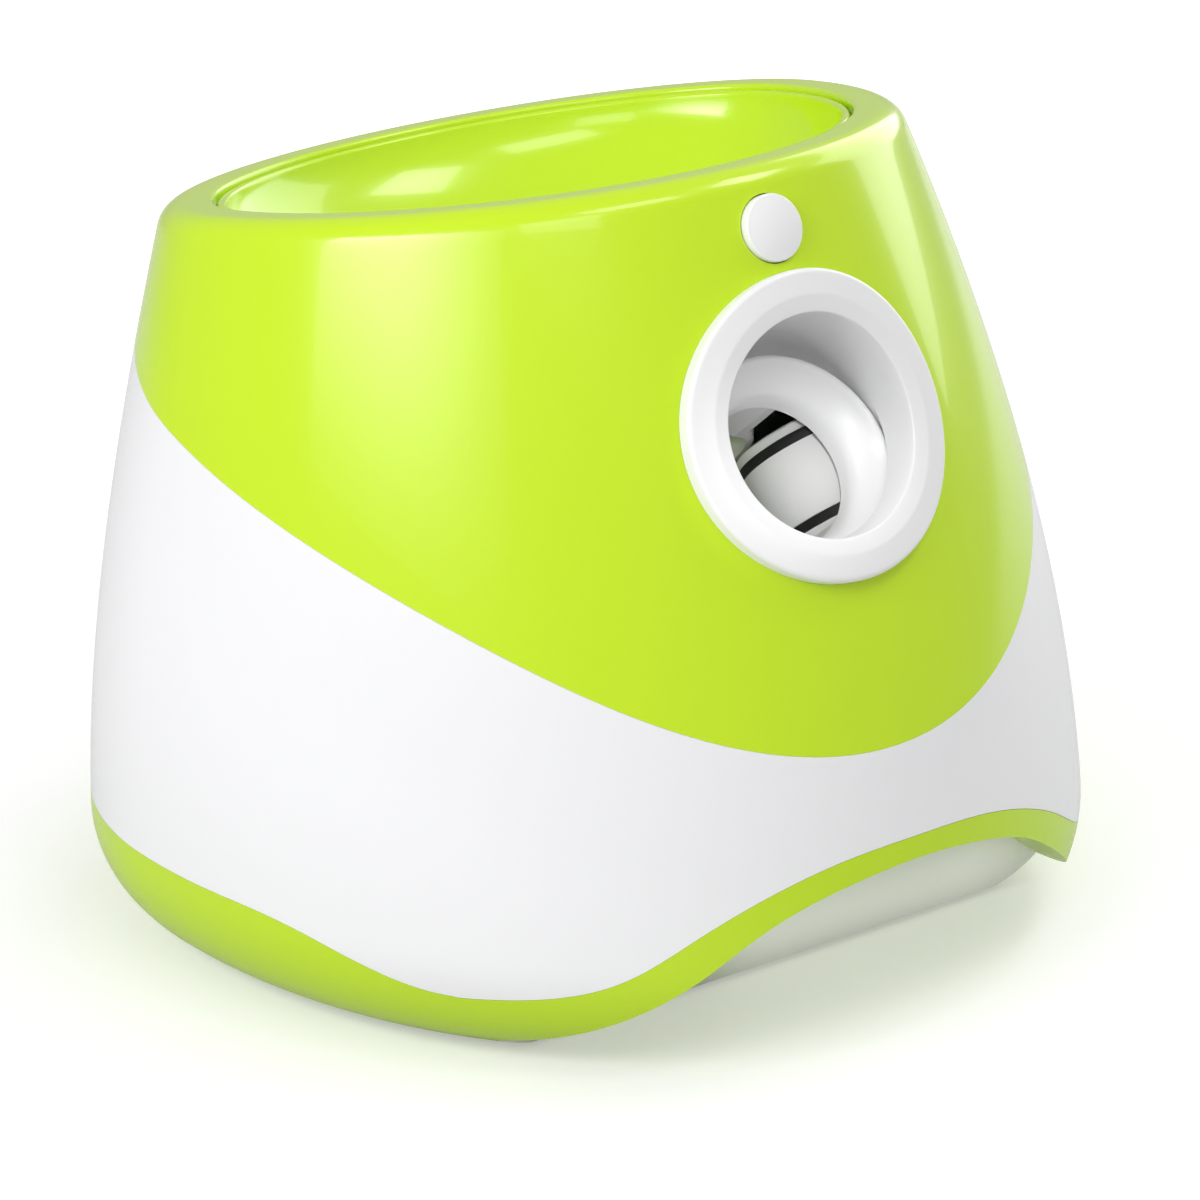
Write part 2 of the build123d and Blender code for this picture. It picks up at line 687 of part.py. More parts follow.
# =================================================================== flywheels
def flywheel(side):
    rim = Pos(0, 0, -WHEEL_WIDTH / 2) * rod(
        WHEEL_RADIUS, WHEEL_WIDTH, WHEEL_RADIUS - WHEEL_RIM_THICK
    )
    web = Pos(0, 0, -WHEEL_WEB_THICK / 2) * rod(
        WHEEL_RADIUS - WHEEL_RIM_THICK / 2, WHEEL_WEB_THICK
    )
    hub = Pos(0, 0, -WHEEL_HUB_LENGTH / 2) * rod(WHEEL_HUB_RADIUS, WHEEL_HUB_LENGTH)
    wheel = rim + web + hub
    ring_radius = (WHEEL_RADIUS - WHEEL_RIM_THICK + WHEEL_HUB_RADIUS) / 2
    for k in range(WHEEL_SPOKE_HOLES):
        turn = Rot(0, 0, 360.0 * k / WHEEL_SPOKE_HOLES)
        wheel -= turn * Pos(ring_radius, 0, -WHEEL_WIDTH / 2) * rod(
            WHEEL_SPOKE_HOLE_RADIUS, WHEEL_WIDTH
        )
    wheel -= Pos(0, 0, -WHEEL_WIDTH) * rod(SHAFT_RADIUS + HUB_FIT, 2 * WHEEL_WIDTH)
    for lift in (-BAND_SPACING / 2, BAND_SPACING / 2):
        wheel -= Pos(0, 0, lift - BAND_WIDTH / 2) * rod(
            WHEEL_RADIUS + WHEEL_ROOM, BAND_WIDTH, WHEEL_RADIUS - BAND_DEPTH
        )
    return wheel_place(side) * wheel


def grip_band(side, row):
    ring = rod(WHEEL_RADIUS + BAND_PROUD, BAND_WIDTH, WHEEL_RADIUS - BAND_DEPTH + HUB_FIT)
    return wheel_place(side, row * BAND_SPACING / 2 - BAND_WIDTH / 2) * ring


def motor_face_lift():
    """Lift of the motors' mounting face, below the wheels' middle plane."""
    return -WHEEL_WIDTH / 2 - BRACKET_GAP - BRACKET_THICK


def motor_shaft(side):
    low = motor_face_lift() - MOTOR_LENGTH + SHAFT_END_ROOM
    top = WHEEL_HUB_LENGTH / 2
    return wheel_place(side, low) * rod(SHAFT_RADIUS, top - low)


def flywheel_motor(side):
    can = rod(MOTOR_RADIUS, MOTOR_LENGTH)
    can = fillet(can.edges().sort_by(Axis.Z)[0], MOTOR_EDGE_ROUND)
    nose = Pos(0, 0, MOTOR_LENGTH) * rod(MOTOR_NOSE_RADIUS, MOTOR_NOSE)
    motor = can + nose
    for turn in (-1, 1):
        motor += Pos(turn * MOTOR_RADIUS / 2, 0, -TERMINAL_LENGTH) * slab(
            TERMINAL_THICK, TERMINAL_WIDTH, TERMINAL_LENGTH + TERMINAL_THICK
        )
        motor -= Pos(turn * MOTOR_SCREW_PITCH, 0, MOTOR_LENGTH - MOTOR_SCREW_DEPTH) * rod(
            SCREW_RADIUS, MOTOR_SCREW_DEPTH
        )
    motor -= Pos(0, 0, SHAFT_END_ROOM - SEAM) * rod(SHAFT_RADIUS + SHAFT_RUN, 2 * MOTOR_LENGTH)
    return wheel_place(side, motor_face_lift() - MOTOR_LENGTH) * motor


def motor_bracket():
    """Tilted plate that hangs both motors, with a cheek down to the base each side."""
    low = motor_face_lift()
    plate = on_launch_line(WHEEL_DEPTH, 0.0, WHEEL_LIFT + low) * Rot(-90, 0, 0) * slab(
        2 * BRACKET_HALF_WIDTH, 2 * BRACKET_HALF_DEPTH, BRACKET_THICK
    )
    slope = math.tan(math.radians(LAUNCH_ANGLE))
    middle = on_launch_line(WHEEL_DEPTH, 0.0, WHEEL_LIFT + low + BRACKET_THICK / 2).position
    front = CHEEK_FRONT_Y
    rear = CHEEK_REAR_Y
    side_view = Polyline(
        (front, BASE_FLOOR + SEAM),
        (rear, BASE_FLOOR + SEAM),
        (rear, middle.Z + (middle.Y - rear) * slope),
        (front, middle.Z + (middle.Y - front) * slope),
        close=True,
    )
    bracket = plate
    for side in (-1, 1):
        cheek = extrude(make_face(Plane.YZ * side_view), amount=CHEEK_THICK / 2, both=True)
        bracket += Pos(side * CHEEK_X, 0, 0) * cheek
        bracket += Pos(side * CHEEK_X, (front + rear) / 2, BASE_FLOOR + SEAM) * slab(
            CHEEK_FOOT, rear - front, BRACKET_THICK
        )
        bracket -= wheel_place(side, low - BRACKET_THICK) * rod(
            MOTOR_NOSE_RADIUS + SEAM, 3 * BRACKET_THICK
        )
        for turn in (-1, 1):
            bracket -= wheel_place(side, low - BRACKET_THICK) * Pos(
                turn * MOTOR_SCREW_PITCH, 0, 0
            ) * rod(SCREW_RADIUS + SEAM, 3 * BRACKET_THICK)
    bracket -= on_launch_line(WHEEL_DEPTH + REACH / 2) * rod(TUBE_RADIUS + SEAM, REACH)
    return bracket


def motor_screws():
    """Two machine screws through the bracket into each motor."""
    group = []
    for side in (-1, 1):
        for turn in (-1, 1):
            place = wheel_place(side, motor_face_lift()) * Pos(turn * MOTOR_SCREW_PITCH, 0, 0)
            shank = Pos(0, 0, -MOTOR_SCREW_DEPTH / 2) * rod(
                SCREW_RADIUS - HUB_FIT, MOTOR_SCREW_DEPTH / 2 + BRACKET_THICK
            )
            head = Pos(0, 0, BRACKET_THICK) * rod(SCREW_HEAD_RADIUS, SCREW_HEAD_HEIGHT)
            group.append(place * (shank + head))
    return Compound(children=group)


# ==================================================================== feed arm
PIVOT = Pos(0, ARM_PIVOT_Y, ARM_PIVOT_Z)


def feed_arm():
    """Arm that lifts the waiting ball up the channel into the wheels."""
    hub = Pos(-ARM_WIDTH / 2, 0, 0) * Rot(0, 90, 0) * rod(ARM_HUB_RADIUS, ARM_WIDTH)
    bar = Rot(ARM_ANGLE, 0, 0) * Pos(0, ARM_LENGTH / 2, 0) * Box(ARM_WIDTH, ARM_LENGTH, ARM_THICK)
    finger = Rot(ARM_ANGLE, 0, 0) * Pos(0, ARM_LENGTH, 0)
    tip = finger * Pos(-ARM_WIDTH / 2, 0, 0) * Rot(0, 90, 0) * rod(ARM_TIP_RADIUS, ARM_WIDTH)
    arm = hub + bar + tip
    arm -= Pos(-ARM_WIDTH, 0, 0) * Rot(0, 90, 0) * rod(FEED_SHAFT_RADIUS + HUB_FIT, 2 * ARM_WIDTH)
    return PIVOT * arm


def feed_shaft():
    length = ARM_WIDTH + GEARBOX_OFFSET + FEED_SHAFT_SEAT
    return PIVOT * Pos(-ARM_WIDTH / 2, 0, 0) * Rot(0, 90, 0) * rod(FEED_SHAFT_RADIUS, length)


def feed_gearbox():
    start = ARM_WIDTH / 2 + GEARBOX_OFFSET
    box = rod(GEARBOX_RADIUS, GEARBOX_LENGTH)
    box = chamfer(box.edges().filter_by(GeomType.CIRCLE), SEAM)
    box -= Pos(0, 0, -SEAM) * rod(FEED_SHAFT_RADIUS + SHAFT_RUN, FEED_SHAFT_SEAT + 2 * SEAM)
    return PIVOT * Pos(start, 0, 0) * Rot(0, 90, 0) * box


def feed_motor():
    start = ARM_WIDTH / 2 + GEARBOX_OFFSET + GEARBOX_LENGTH
    can = rod(FEED_MOTOR_RADIUS, FEED_MOTOR_LENGTH)
    can = fillet(can.edges().sort_by(Axis.Z)[-1], MOTOR_EDGE_ROUND)
    return PIVOT * Pos(start, 0, 0) * Rot(0, 90, 0) * can


def feed_cradle():
    """Saddle on the base that carries the gearbox and its motor."""
    start = ARM_WIDTH / 2 + GEARBOX_OFFSET
    length = GEARBOX_LENGTH + FEED_MOTOR_LENGTH
    floor = BASE_FLOOR + SEAM
    cradle = Pos(start + length / 2, ARM_PIVOT_Y, floor) * slab(
        length, CRADLE_DEPTH, CRADLE_FOOT
    )
    for share in (0.2, 0.8):
        cradle += Pos(start + length * share, ARM_PIVOT_Y, floor) * slab(
            CRADLE_RIB, CRADLE_DEPTH, ARM_PIVOT_Z - floor - SEAM
        )
    cradle -= PIVOT * Rot(0, 90, 0) * rod(GEARBOX_RADIUS + SEAM / 2, REACH)
    return cradle


# ================================================================ power button
def power_button():
    """Round cap with a shallow dome, a skirt and a stem to the switch."""
    top = BUTTON_STAND
    low = top - BUTTON_SKIRT
    stem = switch_top() + BUTTON_PLAY
    wide = BUTTON_RADIUS + BUTTON_RIM
    sides = Polyline(
        (0, top + BUTTON_DOME),
        (0, stem),
        (BUTTON_STEM_RADIUS, stem),
        (BUTTON_STEM_RADIUS, low),
        (wide, low),
        (wide, low + BUTTON_RIM),
        (BUTTON_RADIUS, low + BUTTON_RIM),
        (BUTTON_RADIUS, top),
    )
    dome = TangentArc((0, top + BUTTON_DOME), (BUTTON_RADIUS, top), tangent=(1, 0))
    return BUTTON * revolve(make_face(Plane.XZ * (sides + dome)), Axis.Z)


def switch_top():
    """Height of the switch's own plunger, in the button's frame."""
    return BUTTON_STAND - BUTTON_SKIRT - BUTTON_TRAVEL - BUTTON_STEM


def button_guide():
    """Cup behind the shell that guides the cap and carries the switch."""
    bore = BUTTON_RADIUS + BUTTON_RIM + BUTTON_GAP
    low = switch_top() - SWITCH_HEIGHT - BOARD_THICK
    cup = Pos(0, 0, low) * rod(bore + GUIDE_WALL, -low, bore)
    cup += Pos(0, 0, low - GUIDE_WALL) * rod(bore + GUIDE_WALL, GUIDE_WALL)
    cup = (BUTTON * cup) & housing_form(-WALL - SEAM / 2)
    return below(cup, LIP_THICK + BOWL_FLANGE_THICK + 2 * SEAM)


def button_switch():
    body = Pos(0, 0, switch_top() - SWITCH_HEIGHT) * slab(
        SWITCH_WIDTH, SWITCH_WIDTH, SWITCH_HEIGHT - SWITCH_PLUNGER
    )
    body += Pos(0, 0, switch_top() - SWITCH_PLUNGER) * rod(BUTTON_STEM_RADIUS, SWITCH_PLUNGER)
    return BUTTON * body


def button_board():
    low = switch_top() - SWITCH_HEIGHT - BOARD_THICK
    return BUTTON * Pos(0, 0, low) * rod(BUTTON_RADIUS, BOARD_THICK)


# ======================================================================== base
def bay_width():
    return CELLS_PER_ROW * CELL_LENGTH + 2 * CELL_END_ROOM


def bay_depth():
    return CELL_ROWS * (2 * CELL_RADIUS + CELL_GAP) + CELL_GAP


def recess_top():
    return FOOT_STAND + DOOR_RECESS + DOOR_THICK + DOOR_GAP


def bay_frame_top():
    return recess_top() + BAY_FRAME_THICK


def base_pan(outer):
    """Bottom moulding: wavy edge, arch between the front feet, battery frame."""
    pan = outer & (pan_block(-SEAM / 2) + arch_block(WALL))
    room = housing_form(-WALL) & slab(2 * REACH, 2 * REACH, REACH)
    room -= Pos(0, 0, -REACH + BASE_FLOOR) * slab(2 * REACH, 2 * REACH, REACH)
    room -= arch_block(WALL)
    frame_width = bay_width() + 2 * (DOOR_LEDGE + WALL)
    frame_depth = bay_depth() + 2 * (DOOR_LEDGE + WALL) + DOOR_TRAVEL
    room -= Pos(0, BAY_Y + DOOR_TRAVEL / 2, 0) * slab(frame_width, frame_depth, bay_frame_top())
    pan -= room
    for x, y in post_places():
        pan += Pos(x, y, FOOT_STAND) * rod(SCREW_POST_RADIUS, SCREW_POST_JOINT - FOOT_STAND)
    pan -= arch_block(0.0)
    pan -= slab(2 * REACH, 2 * REACH, FOOT_STAND)
    pan -= Pos(0, BAY_Y, 0) * slab(bay_width(), bay_depth(), REACH)
    recess_depth = bay_depth() + 2 * DOOR_LEDGE + DOOR_TRAVEL
    recess_y = BAY_Y + DOOR_TRAVEL / 2
    pan -= Pos(0, recess_y, 0) * slab(
        bay_width() + 2 * (DOOR_LEDGE - DOOR_TONGUE), recess_depth, recess_top()
    )
    rail_top = FOOT_STAND + DOOR_LIP
    pan -= Pos(0, recess_y, rail_top) * slab(
        bay_width() + 2 * DOOR_LEDGE, recess_depth, recess_top() - rail_top
    )
    for x, y in foot_places():
        pan -= Pos(x, y, 0) * rod(FOOT_RADIUS + SEAM / 2, FOOT_STAND + FOOT_SINK)
    for x, y in post_places():
        pan -= Pos(x, y, 0) * rod(SCREW_HEAD_RADIUS + SEAM, BASE_SCREW_SINK)
        pan -= Pos(x, y, 0) * rod(SCREW_RADIUS + SEAM, REACH)
    return pan


def foot_places():
    places = []
    for side in (-1, 1):
        places.append((side * FRONT_FOOT_X, FRONT_FOOT_Y))
        places.append((side * REAR_FOOT_X, REAR_FOOT_Y))
    return places


def rubber_feet():
    foot = rod(FOOT_RADIUS, FOOT_STAND + FOOT_SINK)
    foot = fillet(foot.edges().sort_by(Axis.Z)[0], FOOT_STAND / 2)
    return Compound(children=[Pos(x, y, 0) * foot for x, y in foot_places()])


# ===================================================================== battery
def battery_tray():
    floor = bay_frame_top()
    outer_width = bay_width() + 2 * BAY_WALL
    outer_depth = bay_depth() + 2 * BAY_WALL
    top = cell_height() + CELL_RADIUS + CELL_GAP + BAY_WALL
    tray = Pos(0, BAY_Y, floor) * slab(outer_width, outer_depth, top - floor)
    tray -= Pos(0, BAY_Y, 0) * slab(bay_width(), bay_depth(), top - BAY_WALL)
    for x in (-BOARD_LENGTH / 2 + BOARD_INSET, BOARD_LENGTH / 2 - BOARD_INSET):
        for y in (-BOARD_WIDTH / 2 + BOARD_INSET, BOARD_WIDTH / 2 - BOARD_INSET):
            tray += Pos(x, BAY_Y + y, top) * rod(BOARD_INSET, BOARD_POST)
    return tray


def board_height():
    return cell_height() + CELL_RADIUS + CELL_GAP + BAY_WALL + BOARD_POST


def cell_height():
    return BAY_LIFT + CELL_RADIUS


def battery_cell(row, column):
    """One C cell with its raised plus end; rows point opposite ways."""
    body = rod(CELL_RADIUS, CELL_LENGTH - CELL_NUB)
    body = fillet(body.edges(), CELL_EDGE_ROUND)
    cell = body + Pos(0, 0, CELL_LENGTH - 2 * CELL_NUB) * rod(CELL_NUB_RADIUS, 2 * CELL_NUB)
    facing = 1 if row % 2 == 0 else -1
    x = (column - CELLS_PER_ROW / 2 + 0.5) * CELL_LENGTH
    y = BAY_Y + (row - (CELL_ROWS - 1) / 2) * (2 * CELL_RADIUS + CELL_GAP)
    return Pos(x - facing * CELL_LENGTH / 2, y, cell_height()) * Rot(0, facing * 90, 0) * cell


def battery_contacts():
    """Sprung plates at both ends of each row of cells."""
    group = []
    for row in range(CELL_ROWS):
        y = BAY_Y + (row - (CELL_ROWS - 1) / 2) * (2 * CELL_RADIUS + CELL_GAP)
        for side in (-1, 1):
            wall = side * bay_width() / 2
            plate = Pos(wall - side * CONTACT_THICK / 2, y, cell_height()) * Box(
                CONTACT_THICK, CELL_RADIUS, CELL_RADIUS
            )
            bow = CELL_END_ROOM - CONTACT_THICK
            cone = Rot(0, -side * 90, 0) * Cone(
                CONTACT_ROOT_RADIUS, CONTACT_TIP_RADIUS, bow - SEAM / 2
            )
            spring = Pos(wall - side * (CONTACT_THICK + bow / 2 - SEAM / 4), y, cell_height()) * cone
            group.append(plate + spring)
    return Compound(children=group)


def battery_door():
    """Sliding cover in the underside, with a ribbed finger grip."""
    depth = bay_depth() + 2 * (DOOR_LEDGE - DOOR_GAP)
    width = bay_width() + 2 * (DOOR_LEDGE - DOOR_TONGUE - DOOR_GAP)
    floor = FOOT_STAND + DOOR_RECESS
    door = Pos(0, BAY_Y, floor) * slab(width, depth, DOOR_THICK)
    tongue_foot = FOOT_STAND + DOOR_LIP + DOOR_GAP
    door += Pos(0, BAY_Y, tongue_foot) * slab(
        width + 2 * DOOR_TONGUE, depth, floor + DOOR_THICK - tongue_foot
    )
    for k in range(GRIP_RIBS):
        y = BAY_Y + depth / 2 - GRIP_PITCH * (k + 1)
        door -= Pos(0, y, floor) * Box(GRIP_WIDTH, GRIP_PITCH / 2, DOOR_THICK / 2)
    return door


# ============================================================== power inlet
def dc_jack():
    """Round inlet for a power adapter, through the rear wall."""
    flange = Pos(0, 0, -JACK_FLANGE) * rod(JACK_RADIUS + JACK_FLANGE, 2 * JACK_FLANGE)
    flange -= jack_place().inverse() * housing_form(SEAM / 2)
    body = Pos(0, 0, -JACK_LENGTH) * rod(JACK_RADIUS, JACK_LENGTH + JACK_FLANGE)
    jack = body + flange
    jack -= Pos(0, 0, -JACK_LENGTH + WALL) * rod(JACK_BORE_RADIUS, JACK_LENGTH + JACK_FLANGE)
    jack += Pos(0, 0, -JACK_LENGTH) * rod(JACK_PIN_RADIUS, JACK_LENGTH - JACK_FLANGE)
    return jack_place() * jack


# ================================================================= electronics
def control_board():
    return Pos(0, BAY_Y, board_height() + SEAM / 2) * slab(BOARD_LENGTH, BOARD_WIDTH, BOARD_THICK)


def board_parts():
    """Controller, two motor relays, capacitors and the wire sockets."""
    top = board_height() + BOARD_THICK + SEAM
    group = [Pos(0, BAY_Y, top) * slab(*CHIP_SIZE)]
    for side in (-1, 1):
        group.append(Pos(side * RELAY_X, BAY_Y, top) * slab(*RELAY_SIZE))
        group.append(Pos(side * SOCKET_X, BAY_Y - BOARD_WIDTH / 3, top) * slab(*SOCKET_SIZE))
        group.append(
            Pos(side * SOCKET_X, BAY_Y + BOARD_WIDTH / 3, top)
            * rod(CAPACITOR_RADIUS, CAPACITOR_HEIGHT)
        )
    return Compound(children=group)


# ===================================================================== screws
def base_screws():
    """Long screws that hold the base pan to posts in the lower shell."""
    shank = rod(SCREW_RADIUS - HUB_FIT, BASE_SCREW_LENGTH)
    head = Pos(0, 0, -SCREW_HEAD_HEIGHT) * rod(SCREW_HEAD_RADIUS, SCREW_HEAD_HEIGHT)
    return Compound(children=[Pos(x, y, BASE_SCREW_SINK) * (shank + head) for x, y in post_places()])


def post_places():
    places = []
    for side in (-1, 1):
        places.append((side * SCREW_POST_FRONT_X, SCREW_POST_FRONT_Y))
        places.append((side * SCREW_POST_REAR_X, SCREW_POST_REAR_Y))
    return places


# ====================================================================== export
def main():
    os.makedirs("parts", exist_ok=True)
    outer, room = housing_solids()
    save("upper_shell", upper_shell(outer, room))
    save("lower_shell", lower_shell(outer, room))
    save("base_pan", base_pan(outer))
    save("hopper_bowl", hopper_bowl())
    save("muzzle_bezel", muzzle_bezel())
    save("launch_trumpet", launch_trumpet())
    channel = launch_channel()
    save("motor_bracket", motor_bracket())
    save("motor_screws", motor_screws())
    for name, side in (("left", -1), ("right", 1)):
        save(f"launch_channel_{name}", channel_half(channel, side))
        save(f"flywheel_{name}", flywheel(side))
        save(f"upper_grip_band_{name}", grip_band(side, 1))
        save(f"lower_grip_band_{name}", grip_band(side, -1))
        save(f"motor_shaft_{name}", motor_shaft(side))
        save(f"flywheel_motor_{name}", flywheel_motor(side))
        save(f"ball_sensor_{name}", ball_sensor(side))
    save("feed_arm", feed_arm())
    save("feed_shaft", feed_shaft())
    save("feed_gearbox", feed_gearbox())
    save("feed_motor", feed_motor())
    save("feed_cradle", feed_cradle())
    save("power_button", power_button())
    save("button_guide", button_guide())
    save("button_switch", button_switch())
    save("button_board", button_board())
    save("battery_tray", battery_tray())
    for row in range(CELL_ROWS):
        for column in range(CELLS_PER_ROW):
            save(f"battery_cell_{row * CELLS_PER_ROW + column + 1}", battery_cell(row, column))
    save("battery_contacts", battery_contacts())
    save("battery_door", battery_door())
    save("dc_jack", dc_jack())
    save("control_board", control_board())
    save("board_parts", board_parts())
    save("rubber_feet", rubber_feet())
    save("base_screws", base_screws())


if __name__ == "__main__":
    main()
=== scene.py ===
import math

import bmesh
import bpy
import numpy as np
from mathutils import Matrix, Vector


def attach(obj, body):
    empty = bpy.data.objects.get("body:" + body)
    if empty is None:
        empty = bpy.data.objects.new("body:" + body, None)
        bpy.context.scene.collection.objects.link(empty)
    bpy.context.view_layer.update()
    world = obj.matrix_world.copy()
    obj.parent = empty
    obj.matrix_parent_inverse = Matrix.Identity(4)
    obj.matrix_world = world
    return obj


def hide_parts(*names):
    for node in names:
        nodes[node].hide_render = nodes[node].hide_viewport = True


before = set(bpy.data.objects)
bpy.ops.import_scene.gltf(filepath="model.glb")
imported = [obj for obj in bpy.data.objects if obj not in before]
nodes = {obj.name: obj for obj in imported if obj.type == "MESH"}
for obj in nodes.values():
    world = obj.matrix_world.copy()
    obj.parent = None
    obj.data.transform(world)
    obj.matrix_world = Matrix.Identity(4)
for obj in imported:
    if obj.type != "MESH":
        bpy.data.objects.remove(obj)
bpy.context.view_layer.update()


# ------------------------------------------------------------------ upper shell
# Glossy lime-green ABS moulding: an oval wall that leans in towards a rolled rim,
# with a flat lip round the hopper and holes for the muzzle's sleeve and the
# button. It is clipped down onto the white waist along a wavy parting line.
STATION_PITCH = 0.072           # height from one outline station to the next
SIDE_STATIONS = (0.1418, 0.1408, 0.1284, 0.1071)
FRONT_STATIONS = (0.1392, 0.1268, 0.1017, 0.0688)
REAR_STATIONS = (0.1362, 0.1324, 0.1234, 0.1146)
WIDEST_SHARE = 0.594            # of the depth, counted from the front
BASE_ROUND = 0.0345
WALL = 0.0026
SLACK = 0.00004                 # the skins lie this far inside the solids
SEAM = 0.00014
RIM_HEIGHT = 0.2182
RIM_TILT = math.radians(10.7)
RIM_ROUND = 0.0079
ROLL_REACH = 0.012
LIP_WIDTH = 0.014
LIP_THICK = 0.0036
LIP_EDGE = 0.0012
PARTING = ((-0.160, 0.0558), (-0.075, 0.1151), (0.0, 0.1459), (0.075, 0.1688), (0.160, 0.1980))
RING_BORE = 0.0304
SLEEVE_WALL = 0.0022
SLEEVE_GAP = 0.0003
HOLE_REACH = 0.022
RING_RISE = 24.0
RING_Y = -0.0915
RING_HEIGHT = 0.1650
LAUNCH_RISE = 40.0
LAUNCH_Y = -0.0935
LAUNCH_HEIGHT = 0.1626
BUTTON_RISE = 23.2
BUTTON_RADIUS = 0.0092
BUTTON_GAP = 0.00035
BUTTON_BELOW_RIM = 0.0157
BUTTON_PROUD = 0.0020
BUTTON_REACH = 0.010
COLUMNS = 480                   # of points, round the housing
NEAR_RIM = 0.21                 # heights where the search for an edge starts
NEAR_LIP = 0.20
NEAR_PARTING = 0.13


def along_height(stations, height):
    """Cubic through the four outline stations, counted up from the floor."""
    step = height / STATION_PITCH
    total = 0.0
    for i, value in enumerate(stations):
        weight = 1.0
        for j in range(4):
            if j != i:
                weight *= (step - j) / (i - j)
        total += weight * value
    return total


def oval_point(turn, side, front, rear):
    """Point of two half ellipses that meet where the housing is widest."""
    middle = (front + rear) * WIDEST_SHARE - front
    half = rear - middle if math.sin(turn) > 0 else front + middle
    return side * math.cos(turn), middle + half * math.sin(turn)


def wall_point(turn, height, grow=-SLACK):
    """Point on the housing's outer form, moved outwards by grow."""
    inset = -grow
    if height < BASE_ROUND:
        lean = max(-1.0, min(1.0, (BASE_ROUND - height) / (BASE_ROUND + grow)))
        inset = BASE_ROUND - (BASE_ROUND + grow) * math.sqrt(1.0 - lean * lean)
    reach = [along_height(s, height) - inset for s in (SIDE_STATIONS, FRONT_STATIONS, REAR_STATIONS)]
    x, y = oval_point(turn, *reach)
    return Vector((x, y, height))


def curve_through(points, slopes=None):
    """Smooth curve through points; its ends run straight, or at the slopes."""
    x = np.array([p[0] for p in points])
    z = np.array([p[1] for p in points])
    step = np.diff(x)
    rise = np.diff(z) / step
    size = len(points)
    system = np.zeros((size, size))
    wanted = np.zeros(size)
    for i in range(1, size - 1):
        system[i, i - 1:i + 2] = step[i - 1], 2 * (step[i - 1] + step[i]), step[i]
        wanted[i] = 6 * (rise[i] - rise[i - 1])
    system[0, 0] = system[-1, -1] = 1.0
    if slopes:
        system[0, :2] = 2 * step[0], step[0]
        system[-1, -2:] = step[-1], 2 * step[-1]
        wanted[0] = 6 * (rise[0] - slopes[0])
        wanted[-1] = 6 * (slopes[1] - rise[-1])
    bend = np.linalg.solve(system, wanted)

    def value_at(place):
        i = int(min(max(np.searchsorted(x, place) - 1, 0), size - 2))
        a, b, h = x[i + 1] - place, place - x[i], step[i]
        return float(
            (bend[i] * a ** 3 + bend[i + 1] * b ** 3) / (6 * h)
            + (z[i] / h - bend[i] * h / 6) * a + (z[i + 1] / h - bend[i + 1] * h / 6) * b
        )

    return value_at


def meet(turn, start, limit, grow=-SLACK):
    """Point of the wall on a column whose height is limit(x, y)."""
    height = start
    for _ in range(60):
        point = wall_point(turn, height, grow)
        height += 0.5 * (limit(point.x, point.y) - height)
    return wall_point(turn, height, grow)


def rim_height(x, y):
    return RIM_HEIGHT - math.tan(RIM_TILT) * y


def rim_reach():
    """Reach of the housing in the rim's plane, counted along that plane."""
    front = FRONT_STATIONS[3]
    rear = REAR_STATIONS[3]
    for _ in range(8):
        front = along_height(FRONT_STATIONS, rim_height(0, -front))
        rear = along_height(REAR_STATIONS, rim_height(0, rear))
    middle = (front + rear) * WIDEST_SHARE - front
    side = along_height(SIDE_STATIONS, rim_height(0, middle))
    return side, front / math.cos(RIM_TILT), rear / math.cos(RIM_TILT)


RIM_FRAME = Matrix.Translation((0, 0, RIM_HEIGHT)) @ Matrix.Rotation(-RIM_TILT, 4, "X")
rim_side, rim_front, rim_rear = rim_reach()


def rim_point(turn, inset, drop):
    """Point in the rim's own plane, inset from the outline and below the plane."""
    x, y = oval_point(turn, rim_side - inset, rim_front - inset, rim_rear - inset)
    return RIM_FRAME @ Vector((x, y, -drop))


def round_corner(corner, before, after, radius, steps):
    """Points of an arc that rounds the corner between two directions."""
    a = (before - corner).normalized()
    b = (after - corner).normalized()
    half = a.angle(b) / 2
    centre = corner + (a + b).normalized() * (radius / math.sin(half))
    first = corner + a * (radius / math.tan(half)) - centre
    last = corner + b * (radius / math.tan(half)) - centre
    sweep = first.angle(last)
    points = []
    for k in range(steps + 1):
        share = k / steps
        blend = first * math.sin((1 - share) * sweep) + last * math.sin(share * sweep)
        points.append(centre + blend / math.sin(sweep))
    return points


def finish_mesh(mesh, name, sharp=32.0):
    """Turns a bmesh into an object with outward, smooth faces and crisp edges."""
    bmesh.ops.recalc_face_normals(mesh, faces=mesh.faces)
    data = bpy.data.meshes.new(name)
    mesh.to_mesh(data)
    mesh.free()
    data.shade_smooth()
    data.set_sharp_from_angle(angle=math.radians(sharp))
    piece = bpy.data.objects.new(name, data)
    bpy.context.scene.collection.objects.link(piece)
    return piece


def wrap(name, profile, columns=COLUMNS):
    """Closed band whose columns follow profile(turn), each a list of points."""
    lines = [profile(2 * math.pi * i / columns) for i in range(columns)]
    mesh = bmesh.new()
    column = mesh.verts.layers.int.new("column")
    ring = bmesh.ops.create_circle(mesh, segments=columns, radius=1.0)["verts"]
    for i, vert in enumerate(ring):
        vert[column] = i
        vert.co = lines[i][0]
    edges = list(mesh.edges)
    for row in range(1, len(lines[0]) + 1):
        made = bmesh.ops.extrude_edge_only(mesh, edges=edges)["geom"]
        for vert in made:
            if isinstance(vert, bmesh.types.BMVert):
                vert.co = lines[vert[column]][row % len(lines[0])]
        edges = [e for e in made if isinstance(e, bmesh.types.BMEdge) and all(v in made for v in e.verts)]
        edges = [e for e in edges if abs(e.verts[0][column] - e.verts[1][column]) in (1, columns - 1)]
    bmesh.ops.remove_doubles(mesh, verts=mesh.verts, dist=1e-7)
    return finish_mesh(mesh, name)


